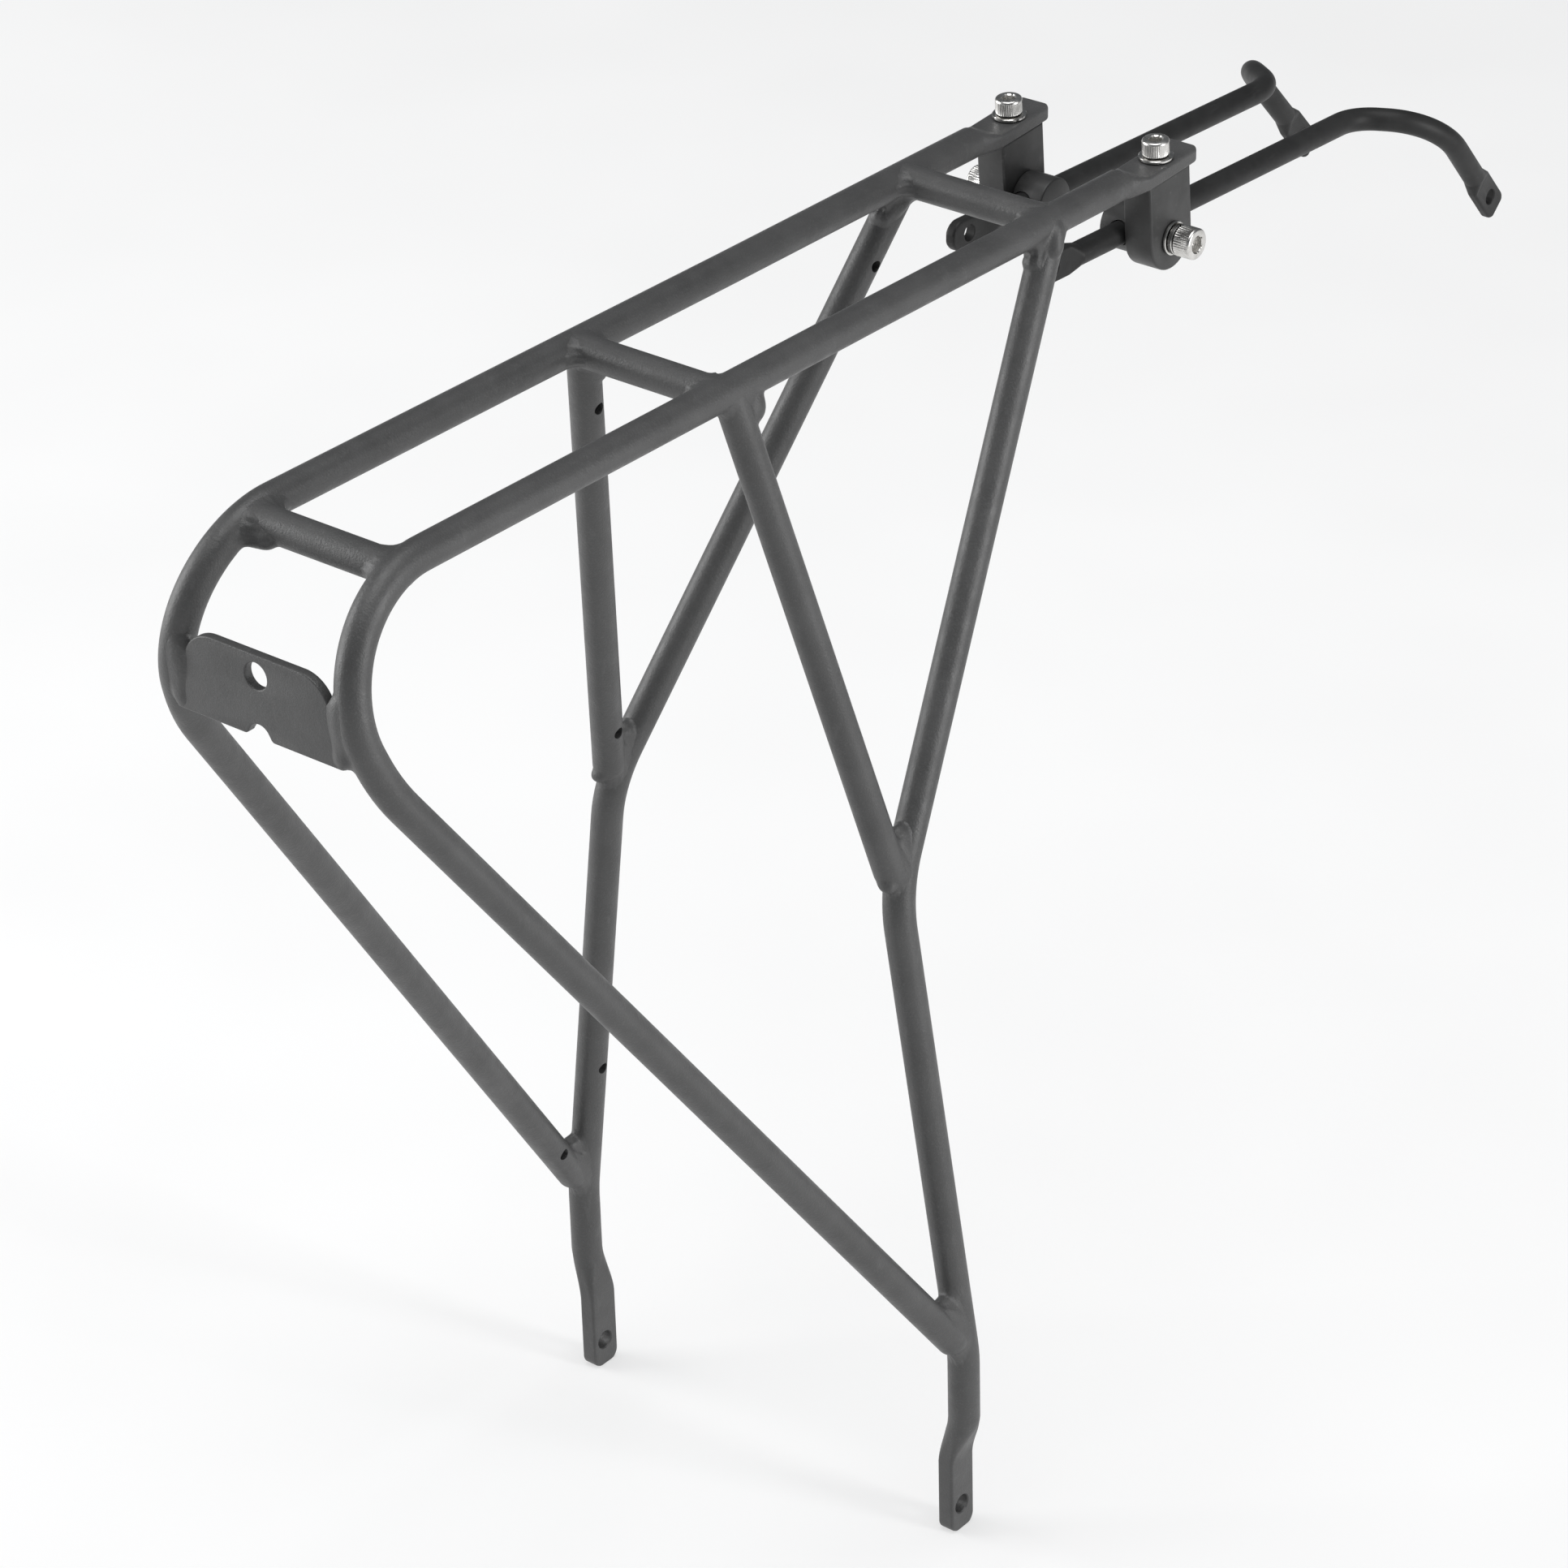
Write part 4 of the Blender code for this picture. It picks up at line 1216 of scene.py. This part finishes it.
def area_light(name, azimuth, elevation, distance, size, power):
    """A soft box that faces the middle of the rack, placed by its azimuth and elevation in degrees."""
    middle = Vector((0, 40, 200)) * MM
    a, e = math.radians(azimuth), math.radians(elevation)
    back = Vector((math.sin(a) * math.cos(e), -math.cos(a) * math.cos(e), math.sin(e)))
    data = bpy.data.lights.new(name, "AREA")
    data.shape = "RECTANGLE"
    data.size, data.size_y = size
    data.energy = power
    light = bpy.data.objects.new(name, data)
    light.location = middle + back * distance
    light.rotation_euler = back.to_track_quat("Z", "Y").to_euler()
    bpy.context.scene.collection.objects.link(light)


def build_lights():
    area_light("softbox_left", -62, 16, 2.4, (1.5, 1.7), 46)
    area_light("softbox_top", 20, 84, 3.0, (2.2, 2.2), 62)
    area_light("strip_right", 100, 14, 2.4, (0.5, 1.7), 34)
    world = bpy.data.worlds.new("studio")
    world.use_nodes = True
    background = world.node_tree.nodes["Background"]
    background.inputs["Color"].default_value = (0.9, 0.95, 1.0, 1)
    background.inputs["Strength"].default_value = 0.12
    bpy.context.scene.world = world
    bpy.context.scene.view_settings.view_transform = "Standard"


def build_camera():
    ca, sa = math.cos(VIEW_AZIMUTH), math.sin(VIEW_AZIMUTH)
    ce, se = math.cos(VIEW_ELEVATION), math.sin(VIEW_ELEVATION)
    back = Vector((sa * ce, -ca * ce, se))
    level = Vector((ca, sa, 0))
    tall = back.cross(level)
    right = level * math.cos(VIEW_ROLL) + tall * math.sin(VIEW_ROLL)
    tall = back.cross(right)
    data = bpy.data.cameras.new("camera")
    data.lens = LENS
    data.sensor_width = 36
    data.clip_end = 100
    camera = bpy.data.objects.new("camera", data)
    turn = Matrix((right, tall, back)).transposed().to_4x4()
    camera.matrix_world = Matrix.Translation(Vector(CAMERA_AT) * MM) @ turn
    bpy.context.scene.collection.objects.link(camera)
    bpy.context.scene.camera = camera


build_floor()
build_lights()
build_camera()
build_crossbars()
build_plate()
for label, side in SIDES.items():
    build_rail(label, side)
    build_leg(label, side)
    build_struts(label, side)
    build_welds(label, side)
    build_block(label, side)
    build_clamp(label, side)
    build_screws(label, side)
    build_rod(label, side)
